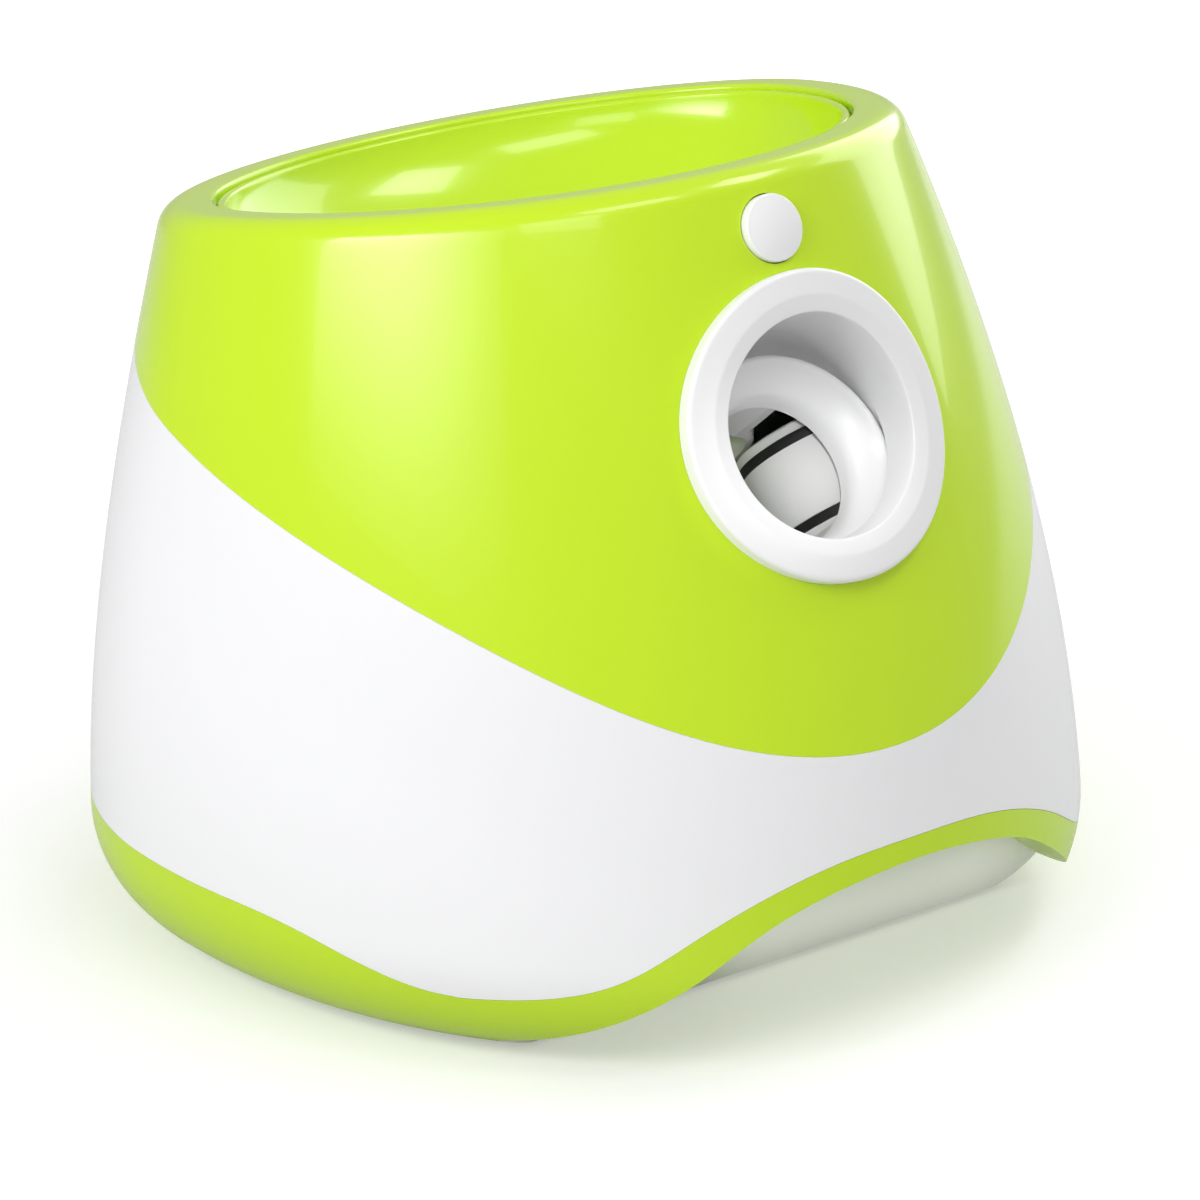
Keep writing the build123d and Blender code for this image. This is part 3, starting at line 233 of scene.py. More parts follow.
def cut(piece, cutter, operation="DIFFERENCE", sharp=32.0):
    """Boolean of the piece with a cutter, which is used up."""
    tool = piece.modifiers.new("cut", "BOOLEAN")
    tool.operation = operation
    tool.solver = "EXACT"
    tool.object = cutter
    bpy.context.view_layer.update()
    shape = piece.evaluated_get(bpy.context.evaluated_depsgraph_get())
    data = bpy.data.meshes.new_from_object(shape)
    piece.modifiers.clear()
    old = piece.data
    piece.data = data
    bpy.data.meshes.remove(old)
    data.name = piece.name
    bpy.data.objects.remove(cutter)
    data.shade_smooth()
    data.set_sharp_from_angle(angle=math.radians(sharp))
    return piece


def plugs(places, radius, low, high, steps=128):
    """Round cutters between two depths of each frame, in one mesh."""
    mesh = bmesh.new()
    for place in places:
        bmesh.ops.create_cone(
            mesh, cap_ends=True, segments=steps, radius1=radius, radius2=radius, depth=high - low,
            matrix=place @ Matrix.Translation((0, 0, (low + high) / 2)),
        )
    return finish_mesh(mesh, "cutter")


def looking(angle, y, z):
    """Frame whose Z looks forwards and upwards at the angle; X stays X."""
    rise = math.radians(angle)
    out = Vector((0, -math.cos(rise), math.sin(rise)))
    up = out.cross(Vector((1, 0, 0)))
    frame_rows = Matrix((Vector((1, 0, 0)), up, out)).transposed().to_4x4()
    return Matrix.Translation((0, y, z)) @ frame_rows


def button_frame():
    """The button's own frame, on the wall just under the front of the rim."""
    height = rim_height(0, -along_height(FRONT_STATIONS, RIM_HEIGHT)) - BUTTON_BELOW_RIM
    return looking(BUTTON_RISE, -along_height(FRONT_STATIONS, height) - BUTTON_PROUD, height)


FACE = looking(RING_RISE, RING_Y, RING_HEIGHT)
LAUNCH = looking(LAUNCH_RISE, LAUNCH_Y, LAUNCH_HEIGHT)
BUTTON = button_frame()
parting_curve = curve_through(PARTING)


def upper_profile(turn):
    edge = meet(turn, NEAR_PARTING, lambda x, y: parting_curve(y) + SEAM / 2)
    crest = meet(turn, NEAR_RIM, lambda x, y: rim_height(x, y) - SLACK)
    below = wall_point(turn, crest.z - ROLL_REACH)
    lip = rim_point(turn, LIP_WIDTH, SLACK)
    roll = round_corner(crest, below, lip, RIM_ROUND, 12)
    steps = 34
    line = []
    for k in range(steps):
        line.append(wall_point(turn, edge.z + (roll[0].z - edge.z) * (k / steps) ** 0.9))
    line += roll
    inner_edge = rim_point(turn, LIP_WIDTH, LIP_THICK)
    for k in (0.25, 0.5, 0.75):
        line.append(roll[-1].lerp(lip, k))
    line += round_corner(lip, roll[-1], inner_edge, LIP_EDGE, 4)
    line.append(inner_edge)
    lip_drop = LIP_THICK / math.cos(RIM_TILT)
    under = meet(turn, NEAR_LIP, lambda x, y: rim_height(x, y) - lip_drop, -WALL)
    inside = meet(turn, NEAR_PARTING, lambda x, y: parting_curve(y) + SEAM / 2, -WALL)
    line += [inner_edge.lerp(under, 0.5), under]
    for k in (0.15, 0.3, 0.45, 0.6, 0.75, 0.88):
        line.append(wall_point(turn, under.z + (inside.z - under.z) * k, -WALL))
    line.append(inside)
    return line


upper_shell = wrap("upper_shell_skin", upper_profile)
cut(upper_shell, plugs([FACE], RING_BORE + SLEEVE_WALL + SLEEVE_GAP, -HOLE_REACH, HOLE_REACH))
cut(upper_shell, plugs([BUTTON], BUTTON_RADIUS + BUTTON_GAP, -BUTTON_REACH, BUTTON_REACH))
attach(upper_shell, "housing")
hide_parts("upper_shell")


def finish_group(name, inputs):
    """Node group with the named inputs; it puts out a colour, a roughness and a height."""
    group = bpy.data.node_groups.new(name, "ShaderNodeTree")
    for label, kind, start in inputs:
        socket = group.interface.new_socket(name=label, in_out="INPUT", socket_type=kind)
        socket.default_value = start
    for label in ("Color", "Roughness", "Height"):
        kind = "NodeSocketColor" if label == "Color" else "NodeSocketFloat"
        group.interface.new_socket(name=label, in_out="OUTPUT", socket_type=kind)
    return group


def formula(tree, operation, *terms):
    """Output of a math node; its terms are numbers or outputs of other nodes."""
    node = tree.nodes.new("ShaderNodeMath")
    node.operation = operation
    for socket, term in zip(node.inputs, terms):
        if isinstance(term, bpy.types.NodeSocket):
            tree.links.new(term, socket)
        else:
            socket.default_value = term
    return node.outputs[0]


def scaled(tree, colour, factor):
    """Output of a node that multiplies a colour by a factor."""
    node = tree.nodes.new("ShaderNodeVectorMath")
    node.operation = "SCALE"
    tree.links.new(colour, node.inputs[0])
    tree.links.new(factor, node.inputs["Scale"])
    return node.outputs[0]


def noise(tree, place, scale, detail=2.0):
    """Output of a noise at the place; its scale is a number or another node's output."""
    node = tree.nodes.new("ShaderNodeTexNoise")
    node.inputs["Detail"].default_value = detail
    tree.links.new(place, node.inputs["Vector"])
    if isinstance(scale, bpy.types.NodeSocket):
        tree.links.new(scale, node.inputs["Scale"])
    else:
        node.inputs["Scale"].default_value = scale
    return node.outputs["Fac"]


# The skin of a moulding: a faint orange peel, slow drifts of shade and of gloss.
skin_group = finish_group("moulded_skin", (
    ("Color", "NodeSocketColor", (0.8, 0.8, 0.8, 1.0)),
    ("Drift", "NodeSocketFloat", 0.04),
    ("Roughness", "NodeSocketFloat", 0.3),
    ("Gloss Drift", "NodeSocketFloat", 0.05),
    ("Grain Scale", "NodeSocketFloat", 900.0),
))
given = skin_group.nodes.new("NodeGroupInput").outputs
result = skin_group.nodes.new("NodeGroupOutput").inputs
place = skin_group.nodes.new("ShaderNodeTexCoord").outputs["Object"]
grain = noise(skin_group, place, given["Grain Scale"], 3.0)
drift = formula(skin_group, "SUBTRACT", noise(skin_group, place, 14.0), 0.5)
shade = formula(skin_group, "MULTIPLY_ADD", drift, given["Drift"], 1.0)
gloss = formula(skin_group, "MULTIPLY_ADD", drift, given["Gloss Drift"], given["Roughness"])
skin_group.links.new(scaled(skin_group, given["Color"], shade), result["Color"])
skin_group.links.new(gloss, result["Roughness"])
skin_group.links.new(grain, result["Height"])


def finished(name, group, values, bump, depth):
    """Material whose colour, roughness and relief come from the group at the values."""
    material = bpy.data.materials.new(name)
    material.use_nodes = True
    shader = material.node_tree.nodes["Principled BSDF"]
    work = material.node_tree.nodes.new("ShaderNodeGroup")
    work.node_tree = group
    for label, value in values.items():
        work.inputs[label].default_value = value
    relief = material.node_tree.nodes.new("ShaderNodeBump")
    relief.inputs["Strength"].default_value = bump
    relief.inputs["Distance"].default_value = depth
    link = material.node_tree.links.new
    link(work.outputs["Color"], shader.inputs["Base Color"])
    link(work.outputs["Roughness"], shader.inputs["Roughness"])
    link(work.outputs["Height"], relief.inputs["Height"])
    link(relief.outputs["Normal"], shader.inputs["Normal"])
    return material


def moulded(name, colour, roughness, drift=0.04, grain_scale=900.0, bump=0.02, coat=0.0):
    """Plastic with the moulded skin under a thin clear gloss."""
    values = {
        "Color": (*colour, 1.0), "Drift": drift, "Roughness": roughness, "Grain Scale": grain_scale,
    }
    material = finished(name, skin_group, values, bump, 0.0004)
    shader = material.node_tree.nodes["Principled BSDF"]
    shader.inputs["Coat Weight"].default_value = coat
    shader.inputs["Coat Roughness"].default_value = 0.04
    return material


def paint(piece, material):
    piece.data.materials.clear()
    piece.data.materials.append(material)


lime_gloss = moulded("lime_gloss", (0.56, 0.80, 0.010), 0.22, drift=0.03, coat=0.4)
paint(upper_shell, lime_gloss)


# ------------------------------------------------------------------- lower shell
# White glossy ABS waist between the green shell and the green base, moulded with
# a plain wall. The inlet's hole goes through it at the rear.
TRIM_FRONT = (
    (0.0, 0.0589), (0.025, 0.0572), (0.045, 0.0519), (0.065, 0.0422), (0.085, 0.0297),
    (0.110, 0.0234), (0.220, 0.0234),
)
TRIM_SIDE = (
    (-0.0748, 0.0234), (-0.052, 0.0288), (-0.033, 0.0344), (0.0, 0.0372), (0.060, 0.0386),
    (0.160, 0.0360),
)
FRONT_SHIFT = 0.003             # the front's wave and arch lie this far to the side
INLET_HEIGHT = 0.060
INLET_RADIUS = 0.0058
INLET_REACH = 0.014
NEAR_TRIM = 0.03                # height where the search for the trim's edge starts
front_trim = curve_through(TRIM_FRONT, slopes=(0.0, 0.0))
side_trim = curve_through(TRIM_SIDE, slopes=(0.0, 0.0))


def trim_height(x, y):
    return front_trim(abs(x - FRONT_SHIFT)) if y < TRIM_SIDE[0][0] else side_trim(y)


def lower_profile(turn):
    foot = meet(turn, NEAR_TRIM, lambda x, y: trim_height(x, y) + SEAM / 2)
    top = meet(turn, NEAR_PARTING, lambda x, y: parting_curve(y) - SEAM / 2)
    foot_in = meet(turn, NEAR_TRIM, lambda x, y: trim_height(x, y) + SEAM / 2, -WALL)
    top_in = meet(turn, NEAR_PARTING, lambda x, y: parting_curve(y) - SEAM / 2, -WALL)
    steps = 36
    line = [wall_point(turn, foot.z + (top.z - foot.z) * k / steps) for k in range(steps + 1)]
    line += [wall_point(turn, top_in.z + (foot_in.z - top_in.z) * k / 10, -WALL) for k in range(11)]
    return line


lower_shell = wrap("lower_shell_skin", lower_profile)
rear_wall = wall_point(math.pi / 2, INLET_HEIGHT)
INLET = Matrix.Translation(rear_wall) @ Matrix.Rotation(-math.pi / 2, 4, "X")
cut(lower_shell, plugs([INLET], INLET_RADIUS, -INLET_REACH, INLET_REACH, 48))
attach(lower_shell, "housing")
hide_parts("lower_shell")
white_gloss = moulded("white_gloss", (0.86, 0.86, 0.875), 0.25, drift=0.015, coat=0.15)
paint(lower_shell, white_gloss)


# ---------------------------------------------------------------------- base pan
# Lime-green bottom moulding: a big radius into the flat underside, a wavy upper
# edge, and an arch under the front with its own roof and a back wall painted white
# as painted light: a pale patch that stands in for the lit floor further under the
# arch. The underside has openings for the battery door, the feet and the deep screws.
UNDERSIDE = 0.0012
FLOOR_TOP = 0.0040
FLOOR_MIDDLE = Vector((0, 0.0247, 0))
ARCH = (
    (0.0, 0.0530), (0.025, 0.0503), (0.0483, 0.0421), (0.068, 0.0285), (0.0884, 0.0127),
    (0.112, -0.004),
)
ARCH_END_SLOPE = -0.62
ARCH_DEPTH = 0.062
ARCH_REAR = ARCH_DEPTH - along_height(FRONT_STATIONS, BASE_ROUND)
ARCH_START = -0.220
ARCH_FOOT = -0.050
BAY_Y = 0.030
BAY_WIDTH = 0.1600
BAY_DEPTH = 0.0550
BAY_TOP = 0.030
RECESS_Y = 0.034
RECESS_WIDTH = 0.1660
RECESS_DEPTH = 0.0730
RECESS_TOP = 0.0044
RAIL_WIDTH = 0.1700
RAIL_TOP = 0.0024
LEDGE_WIDTH = 0.1752
LEDGE_DEPTH = 0.0782
LEDGE_TOP = 0.0068
FOOT_PLACES = ((0.088, -0.036), (0.060, 0.081))
FOOT_RADIUS = 0.00615
FOOT_SINK = 0.0027
POST_PLACES = ((0.098, 0.006), (0.038, 0.091))
POST_RADIUS = 0.0050
POST_TOP = 0.024
HEAD_RADIUS = 0.0033
HEAD_SINK = 0.0060
SHANK_RADIUS = 0.0018
SHANK_TOP = 0.040
OVERLAP = 0.001                 # of what is joined to the pan's floor
BELOW = -0.010                  # cutters start here, under the pan
arch_curve = curve_through(ARCH, slopes=(0.0, ARCH_END_SLOPE))


def quarter(share):
    """Spaces points closely where the round foot turns under."""
    return math.sin(math.pi / 2 * share)


def pan_profile(turn):
    top = meet(turn, NEAR_TRIM, lambda x, y: trim_height(x, y) - SEAM / 2)
    top_in = meet(turn, NEAR_TRIM, lambda x, y: trim_height(x, y) - SEAM / 2, -WALL)
    line = []
    for k in range(27):
        line.append(wall_point(turn, top.z + (UNDERSIDE - top.z) * quarter(k / 26)))
    inner = []
    for k in range(13):
        inner.append(wall_point(turn, top_in.z + (FLOOR_TOP - top_in.z) * quarter(k / 12), -WALL))
    close = [line[-1].lerp(FLOOR_MIDDLE + Vector((0, 0, UNDERSIDE)), k) for k in (0.3, 0.6, 0.9)]
    back = [inner[-1].lerp(FLOOR_MIDDLE + Vector((0, 0, FLOOR_TOP)), k) for k in (0.9, 0.6, 0.3)]
    return line + close + back + inner[::-1]


def lining_profile(turn):
    """Solid form a little inside the pan, from which the tunnel's walls are kept."""
    inset = -WALL / 3
    low = UNDERSIDE + WALL / 3
    high = ARCH[0][1] + 3 * WALL
    line = [wall_point(turn, high + (low - high) * quarter(k / 16), inset) for k in range(17)]
    line.append(line[-1].lerp(FLOOR_MIDDLE + Vector((0, 0, low)), 0.9))
    line.append(line[0].lerp(FLOOR_MIDDLE + Vector((0, 0, high)), 0.9))
    return line


def arch_prism(grow):
    """Closed prism of the arch's outline, from in front of the housing to its rear."""
    mesh = bmesh.new()
    steps = 64
    reach = ARCH[-1][0] + grow
    verts = []
    for k in range(steps + 1):
        x = -reach + 2 * reach * k / steps
        height = arch_curve(max(0.0, abs(x) - grow)) + grow
        verts.append(mesh.verts.new((x + FRONT_SHIFT, ARCH_START, height)))
    verts.append(mesh.verts.new((reach + FRONT_SHIFT, ARCH_START, ARCH_FOOT)))
    verts.append(mesh.verts.new((-reach + FRONT_SHIFT, ARCH_START, ARCH_FOOT)))
    face = mesh.faces.new(verts)
    made = bmesh.ops.extrude_face_region(mesh, geom=[face])["geom"]
    moved = [v for v in made if isinstance(v, bmesh.types.BMVert)]
    bmesh.ops.translate(mesh, verts=moved, vec=(0, ARCH_REAR + grow - ARCH_START, 0))
    return finish_mesh(mesh, "cutter")


def block(width, depth, low, high, y):
    """Box across the middle plane, between two heights."""
    mesh = bmesh.new()
    size = Matrix.Diagonal((width, depth, high - low, 1.0))
    bmesh.ops.create_cube(mesh, size=1.0, matrix=Matrix.Translation((0, y, (low + high) / 2)) @ size)
    return finish_mesh(mesh, "cutter")


def both_sides(places):
    return [Matrix.Translation((side * x, y, 0)) for side in (-1, 1) for x, y in places]


base_pan = wrap("base_pan_skin", pan_profile)
lining = cut(wrap("lining", lining_profile, 240), arch_prism(WALL), "INTERSECT")
cut(base_pan, lining, "UNION")
cut(base_pan, block(LEDGE_WIDTH, LEDGE_DEPTH, FLOOR_TOP - OVERLAP, LEDGE_TOP, RECESS_Y), "UNION")
posts = plugs(both_sides(POST_PLACES), POST_RADIUS, FLOOR_TOP - OVERLAP, POST_TOP, 48)
cut(base_pan, posts, "UNION")
cut(base_pan, arch_prism(0.0))
cut(base_pan, block(BAY_WIDTH, BAY_DEPTH, BELOW, BAY_TOP, BAY_Y))
cut(base_pan, block(RECESS_WIDTH, RECESS_DEPTH, BELOW, RECESS_TOP, RECESS_Y))
cut(base_pan, block(RAIL_WIDTH, RECESS_DEPTH, RAIL_TOP, RECESS_TOP, RECESS_Y))
cut(base_pan, plugs(both_sides(FOOT_PLACES), FOOT_RADIUS, BELOW, FOOT_SINK, 64))
cut(base_pan, plugs(both_sides(POST_PLACES), HEAD_RADIUS, BELOW, HEAD_SINK, 48))
cut(base_pan, plugs(both_sides(POST_PLACES), SHANK_RADIUS, BELOW, SHANK_TOP, 32))
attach(base_pan, "housing")
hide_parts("base_pan")
lime_base = moulded("lime_base", (0.52, 0.75, 0.008), 0.26, drift=0.03, coat=0.2)
paint(base_pan, lime_base)
# Painted light: the tunnel's back wall takes the white moulding so that it reads as lit floor beyond the
# arch.
base_pan.data.materials.append(white_gloss)
for face in base_pan.data.polygons:
    if face.normal.y < -0.99 and abs(face.center.y - ARCH_REAR) < SLACK:
        face.material_index = 1


# ------------------------------------------------------------------------ hopper
# Lime-green bowl that feeds the balls to one hole: a moulded funnel, held under
# the lip by its flange, with a short spout into the channel's collar.
BOWL_GAP = 0.0010
BOWL_DROP = 0.0014
BOWL_WALL = 0.0024
BOWL_EDGE = 0.0011
FLANGE = 0.0050
FLANGE_DROP = 0.0039
FLANGE_THICK = 0.0024
BORE = 0.0206
TUBE_WALL = 0.0022
SPOUT_LENGTH = 0.010
SPOUT_LEAD = 0.0035
EDGE_REACH = 0.004
CHUTE_Y = -0.023
HOLE_HEIGHT = 0.158
hole_drop = (RIM_HEIGHT - HOLE_HEIGHT - CHUTE_Y * math.tan(RIM_TILT)) * math.cos(RIM_TILT)


def bowl_point(turn, drop, grow, depth):
    """Point on the funnel at a drop below the rim, grown outwards by grow."""
    lip = LIP_WIDTH + BOWL_GAP + BOWL_WALL - grow
    hole = BORE + grow
    centre = (CHUTE_Y + math.sin(RIM_TILT) * depth) / math.cos(RIM_TILT)
    share = math.cos(math.pi / 2 * max(0.0, drop) / depth)
    side = hole + (rim_side - lip - hole) * share
    front = hole - centre + (rim_front - lip - hole + centre) * share
    rear = hole + centre + (rim_rear - lip - hole - centre) * share
    x, y = oval_point(turn, side, front, rear)
    return RIM_FRAME @ Vector((x, y, -drop))


def spout_point(turn, radius, height):
    return Vector((radius * math.cos(turn), CHUTE_Y + radius * math.sin(turn), height))


def bowl_profile(turn):
    outer_depth = hole_drop + BOWL_WALL
    inner = bowl_point(turn, BOWL_DROP, 0.0, hole_drop)
    outer = bowl_point(turn, BOWL_DROP, BOWL_WALL, outer_depth)
    lower_in = bowl_point(turn, BOWL_DROP + EDGE_REACH, 0.0, hole_drop)
    lower_out = bowl_point(turn, BOWL_DROP + EDGE_REACH, BOWL_WALL, outer_depth)
    top = BOWL_DROP + 1.5 * BOWL_EDGE
    line = []
    for k in range(41):
        share = 1 - math.cos(math.pi / 2 * k / 40)
        line.append(bowl_point(turn, hole_drop + (top - hole_drop) * share, 0.0, hole_drop))
    line += round_corner(inner, lower_in, outer, BOWL_EDGE, 5)
    line += round_corner(outer, inner, lower_out, BOWL_EDGE, 5)
    line.append(rim_point(turn, LIP_WIDTH + BOWL_GAP, FLANGE_DROP))
    line.append(rim_point(turn, LIP_WIDTH - FLANGE, FLANGE_DROP))
    low = FLANGE_DROP + FLANGE_THICK
    line.append(rim_point(turn, LIP_WIDTH - FLANGE, low))
    for k in range(19):
        line.append(bowl_point(turn, low + (outer_depth - low) * k / 19, BOWL_WALL, outer_depth))
    line.append(spout_point(turn, BORE + TUBE_WALL, HOLE_HEIGHT - SPOUT_LEAD))
    line.append(spout_point(turn, BORE + TUBE_WALL, HOLE_HEIGHT - SPOUT_LENGTH))
    line.append(spout_point(turn, BORE, HOLE_HEIGHT - SPOUT_LENGTH))
    return line


hopper = wrap("hopper_bowl_skin", bowl_profile, 360)
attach(hopper, "housing")
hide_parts("hopper_bowl")
paint(hopper, lime_gloss)


# ------------------------------------------------------------------- muzzle ring
# White ABS ring that follows the shell's curve, with a soft outer edge, a
# chamfered mouth and a sleeve through the shell's hole. The sleeve's end turns in
# behind the trumpet's lip and makes room for the trumpet and the wheels.
RING_RADIUS = 0.0422
RING_STAND = 0.0046
RING_EDGE = 0.0016
RING_CHAMFER = 0.0046
RING_CHAMFER_DEPTH = 0.0017
MOUTH_BREAK = 0.0004
LAND_REACH = 0.002
LAND_ROUND = 0.003
SLEEVE_DEPTH = 0.033
SLEEVE_END_ROUND = 0.008
SLEEVE_END_RADIUS = 0.010
MOUTH_DEPTH = 0.0152
MOUTH_RADIUS = 0.0290
TRUMPET_WALL = 0.0018
TRUMPET_ROOM = 0.0010
THROAT_DEPTH = 0.0278
TUBE_RADIUS = BORE + TUBE_WALL
SKIN_SEARCH = 0.03              # the shell lies within this of the muzzle's plane


def turned(name, points, place, steps=96, closed=True, sharp=32.0):
    """Piece turned on a lathe: profile points (radius, height) spun about Z."""
    mesh = bmesh.new()
    verts = [mesh.verts.new((r, 0, z)) for r, z in points]
    ends = list(zip(verts, verts[1:] + verts[:1])) if closed else list(zip(verts, verts[1:]))
    edges = [mesh.edges.new(pair) for pair in ends]
    bmesh.ops.spin(
        mesh, geom=verts + edges, cent=(0, 0, 0), axis=(0, 0, 1), angle=2 * math.pi,
        steps=steps, use_merge=True,
    )
    bmesh.ops.remove_doubles(mesh, verts=mesh.verts, dist=1e-7)
    bmesh.ops.transform(mesh, matrix=place, verts=mesh.verts)
    return finish_mesh(mesh, name, sharp)


def around(turn, radius, level):
    return Vector((radius * math.cos(turn), radius * math.sin(turn), level))


def over_skin(turn, radius, stand):
    """Point over the shell at a polar place of the muzzle, stand proud of it."""
    low = -SKIN_SEARCH
    high = SKIN_SEARCH
    for _ in range(40):
        level = (low + high) / 2
        point = FACE @ around(turn, radius, level)
        reach = [along_height(s, point.z) + stand for s in (SIDE_STATIONS, FRONT_STATIONS, REAR_STATIONS)]
        middle = (reach[1] + reach[2]) * WIDEST_SHARE - reach[1]
        half = reach[2] - middle if point.y > middle else reach[1] + middle
        if (point.x / reach[0]) ** 2 + ((point.y - middle) / half) ** 2 > 1.0:
            high = level
        else:
            low = level
    return around(turn, radius, level)


def ring_profile(turn):
    end = -SLEEVE_DEPTH
    floor = end + SLEEVE_WALL
    outer = RING_BORE + SLEEVE_WALL
    land_radius = RING_BORE + RING_CHAMFER
    mouth = over_skin(turn, RING_BORE, RING_STAND - RING_CHAMFER_DEPTH)
    land = over_skin(turn, land_radius, RING_STAND)
    line = [around(turn, SLEEVE_END_RADIUS, floor)]
    line += round_corner(
        around(turn, RING_BORE, floor), line[0], around(turn, RING_BORE, 0.0), SLEEVE_END_ROUND, 10
    )
    turned_in = line[-1].z
    for k in range(1, 8):
        line.append(around(turn, RING_BORE, turned_in + (mouth.z - MOUTH_BREAK - turned_in) * k / 7.5))
    line += round_corner(mouth, line[-1], land, MOUTH_BREAK, 3)
    line += [mouth.lerp(land, 0.3), mouth.lerp(land, 0.6)]
    flank = over_skin(turn, land_radius + LAND_REACH, RING_STAND)
    line += round_corner(land, mouth, flank, LAND_ROUND, 4)
    for share in (0.35, 0.55, 0.72):
        line.append(over_skin(turn, land_radius + (RING_RADIUS - land_radius) * share, RING_STAND))
    foot = over_skin(turn, RING_RADIUS, SEAM)
    line += round_corner(over_skin(turn, RING_RADIUS, RING_STAND), line[-1], foot, RING_EDGE, 7)
    line.append(foot)
    line.append(over_skin(turn, outer, SEAM))
    line += round_corner(
        around(turn, outer, end), around(turn, outer, 0.0), around(turn, SLEEVE_END_RADIUS, end),
        SLEEVE_END_ROUND + SLEEVE_WALL, 8,
    )
    line.append(around(turn, SLEEVE_END_RADIUS, end))
    return [FACE @ point for point in line]


def trumpet_envelope():
    """Room for the trumpet and the wheels, as a profile about the launch line."""
    lip = MOUTH_RADIUS + TRUMPET_WALL + TRUMPET_ROOM
    neck = TUBE_RADIUS + TRUMPET_WALL / 2 + TRUMPET_ROOM
    start = -MOUTH_DEPTH + TRUMPET_ROOM
    flare_end = -THROAT_DEPTH + (THROAT_DEPTH - MOUTH_DEPTH) / 4 - TRUMPET_ROOM
    wheels = -THROAT_DEPTH - TRUMPET_ROOM
    rear = wheels - 2 * SLEEVE_DEPTH
    return (
        (0.0, start), (lip, start), (lip, -MOUTH_DEPTH - TRUMPET_WALL), (neck, flare_end),
        (neck, wheels), (RING_RADIUS, wheels), (RING_RADIUS, rear), (0.0, rear),
    )


muzzle_ring = wrap("muzzle_ring", ring_profile, 256)
cut(muzzle_ring, turned("cutter", trumpet_envelope(), LAUNCH, 192, closed=False))
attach(muzzle_ring, "housing")
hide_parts("muzzle_bezel")
white_satin = moulded("white_satin", (0.86, 0.86, 0.865), 0.30, drift=0.015, coat=0.1)
paint(muzzle_ring, white_satin)


# ---------------------------------------------------------------- launch trumpet
# White funnel mouth of the launch channel, with a thin rolled lip; it slides
# over the channel's front end behind the ring.
FLARE_SHARE = 0.3
FLARE_LEAN = 0.25


def trumpet_profile():
    middle = (
        -(MOUTH_DEPTH + THROAT_DEPTH) / 2,
        BORE + (MOUTH_RADIUS - BORE) * FLARE_SHARE,
    )
    flare = curve_through(
        ((-THROAT_DEPTH, BORE), middle, (-MOUTH_DEPTH, MOUTH_RADIUS)),
        slopes=(FLARE_LEAN, FLARE_LEAN),
    )
    roll = TRUMPET_WALL / 2
    shoulder = -MOUTH_DEPTH - roll
    line = []
    for k in range(21):
        depth = -THROAT_DEPTH + (shoulder + THROAT_DEPTH) * k / 20
        line.append((flare(depth), depth))
    for k in range(1, 9):
        turn = math.radians(160 - 20 * k)
        line.append((MOUTH_RADIUS + roll + roll * math.cos(turn), shoulder + roll * math.sin(turn)))
    line.append((TUBE_RADIUS + roll, -THROAT_DEPTH + (THROAT_DEPTH - MOUTH_DEPTH) / 4))
    line.append((TUBE_RADIUS, -THROAT_DEPTH))
    return line


trumpet = turned("launch_trumpet_skin", trumpet_profile(), LAUNCH, 192, sharp=50.0)
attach(trumpet, "housing")
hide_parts("launch_trumpet")
paint(trumpet, white_satin)


# --------------------------------------------------------------------- flywheels
# Two nylon wheels, each turned by its own motor: a broad tread with two grooves,
# a web with six holes, and a hub pressed on the motor's shaft.
WHEEL_DEPTH = 0.0569
WHEEL_X = 0.0465
WHEEL_LIFT = 0.0015
WHEEL_RADIUS = 0.0280
WHEEL_WIDTH = 0.0320
WHEEL_RIM = 0.0040
WEB_THICK = 0.0040
HUB_RADIUS = 0.0060
HUB_LENGTH = 0.0260
SHAFT_RADIUS = 0.00162
BAND_SPACING = 0.0234
BAND_WIDTH = 0.0030
GROOVE_DEPTH = 0.0014
TREAD_BEVEL = 0.0005
SPOKE_HOLES = 6
SPOKE_PLACE = 0.015
SPOKE_RADIUS = 0.0044
wheel_nylon = moulded("wheel_nylon", (0.88, 0.88, 0.875), 0.42, drift=0.03, bump=0.05)


def wheel_place(side, lift=0.0):
    turn = Matrix.Rotation(-math.pi / 2, 4, "X")
    return LAUNCH @ Matrix.Translation((side * WHEEL_X, WHEEL_LIFT + lift, -WHEEL_DEPTH)) @ turn


def wheel_profile():
    edge = WHEEL_WIDTH / 2
    inner = WHEEL_RADIUS - WHEEL_RIM
    groove = WHEEL_RADIUS - GROOVE_DEPTH
    high = (BAND_SPACING + BAND_WIDTH) / 2
    low = (BAND_SPACING - BAND_WIDTH) / 2
    upper = [
        (SHAFT_RADIUS, HUB_LENGTH / 2), (HUB_RADIUS, HUB_LENGTH / 2), (HUB_RADIUS, WEB_THICK / 2),
        (inner, WEB_THICK / 2), (inner, edge - TREAD_BEVEL), (inner + TREAD_BEVEL, edge),
        (WHEEL_RADIUS - TREAD_BEVEL, edge), (WHEEL_RADIUS, edge - TREAD_BEVEL),
        (WHEEL_RADIUS, high), (groove, high), (groove, low), (WHEEL_RADIUS, low),
    ]
    return upper + [(radius, -height) for radius, height in reversed(upper)]


for side, hand in ((-1, "left"), (1, "right")):
    wheel = turned(f"flywheel_{hand}_turned", wheel_profile(), wheel_place(side), 128)
    spots = []
    for k in range(SPOKE_HOLES):
        spin = Matrix.Rotation(2 * math.pi * k / SPOKE_HOLES, 4, "Z")
        spots.append(wheel_place(side) @ spin @ Matrix.Translation((SPOKE_PLACE, 0, 0)))
    cut(wheel, plugs(spots, SPOKE_RADIUS, -WEB_THICK, WEB_THICK, 40))
    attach(wheel, f"flywheel_{hand}")
    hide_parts(f"flywheel_{hand}")
    paint(wheel, wheel_nylon)


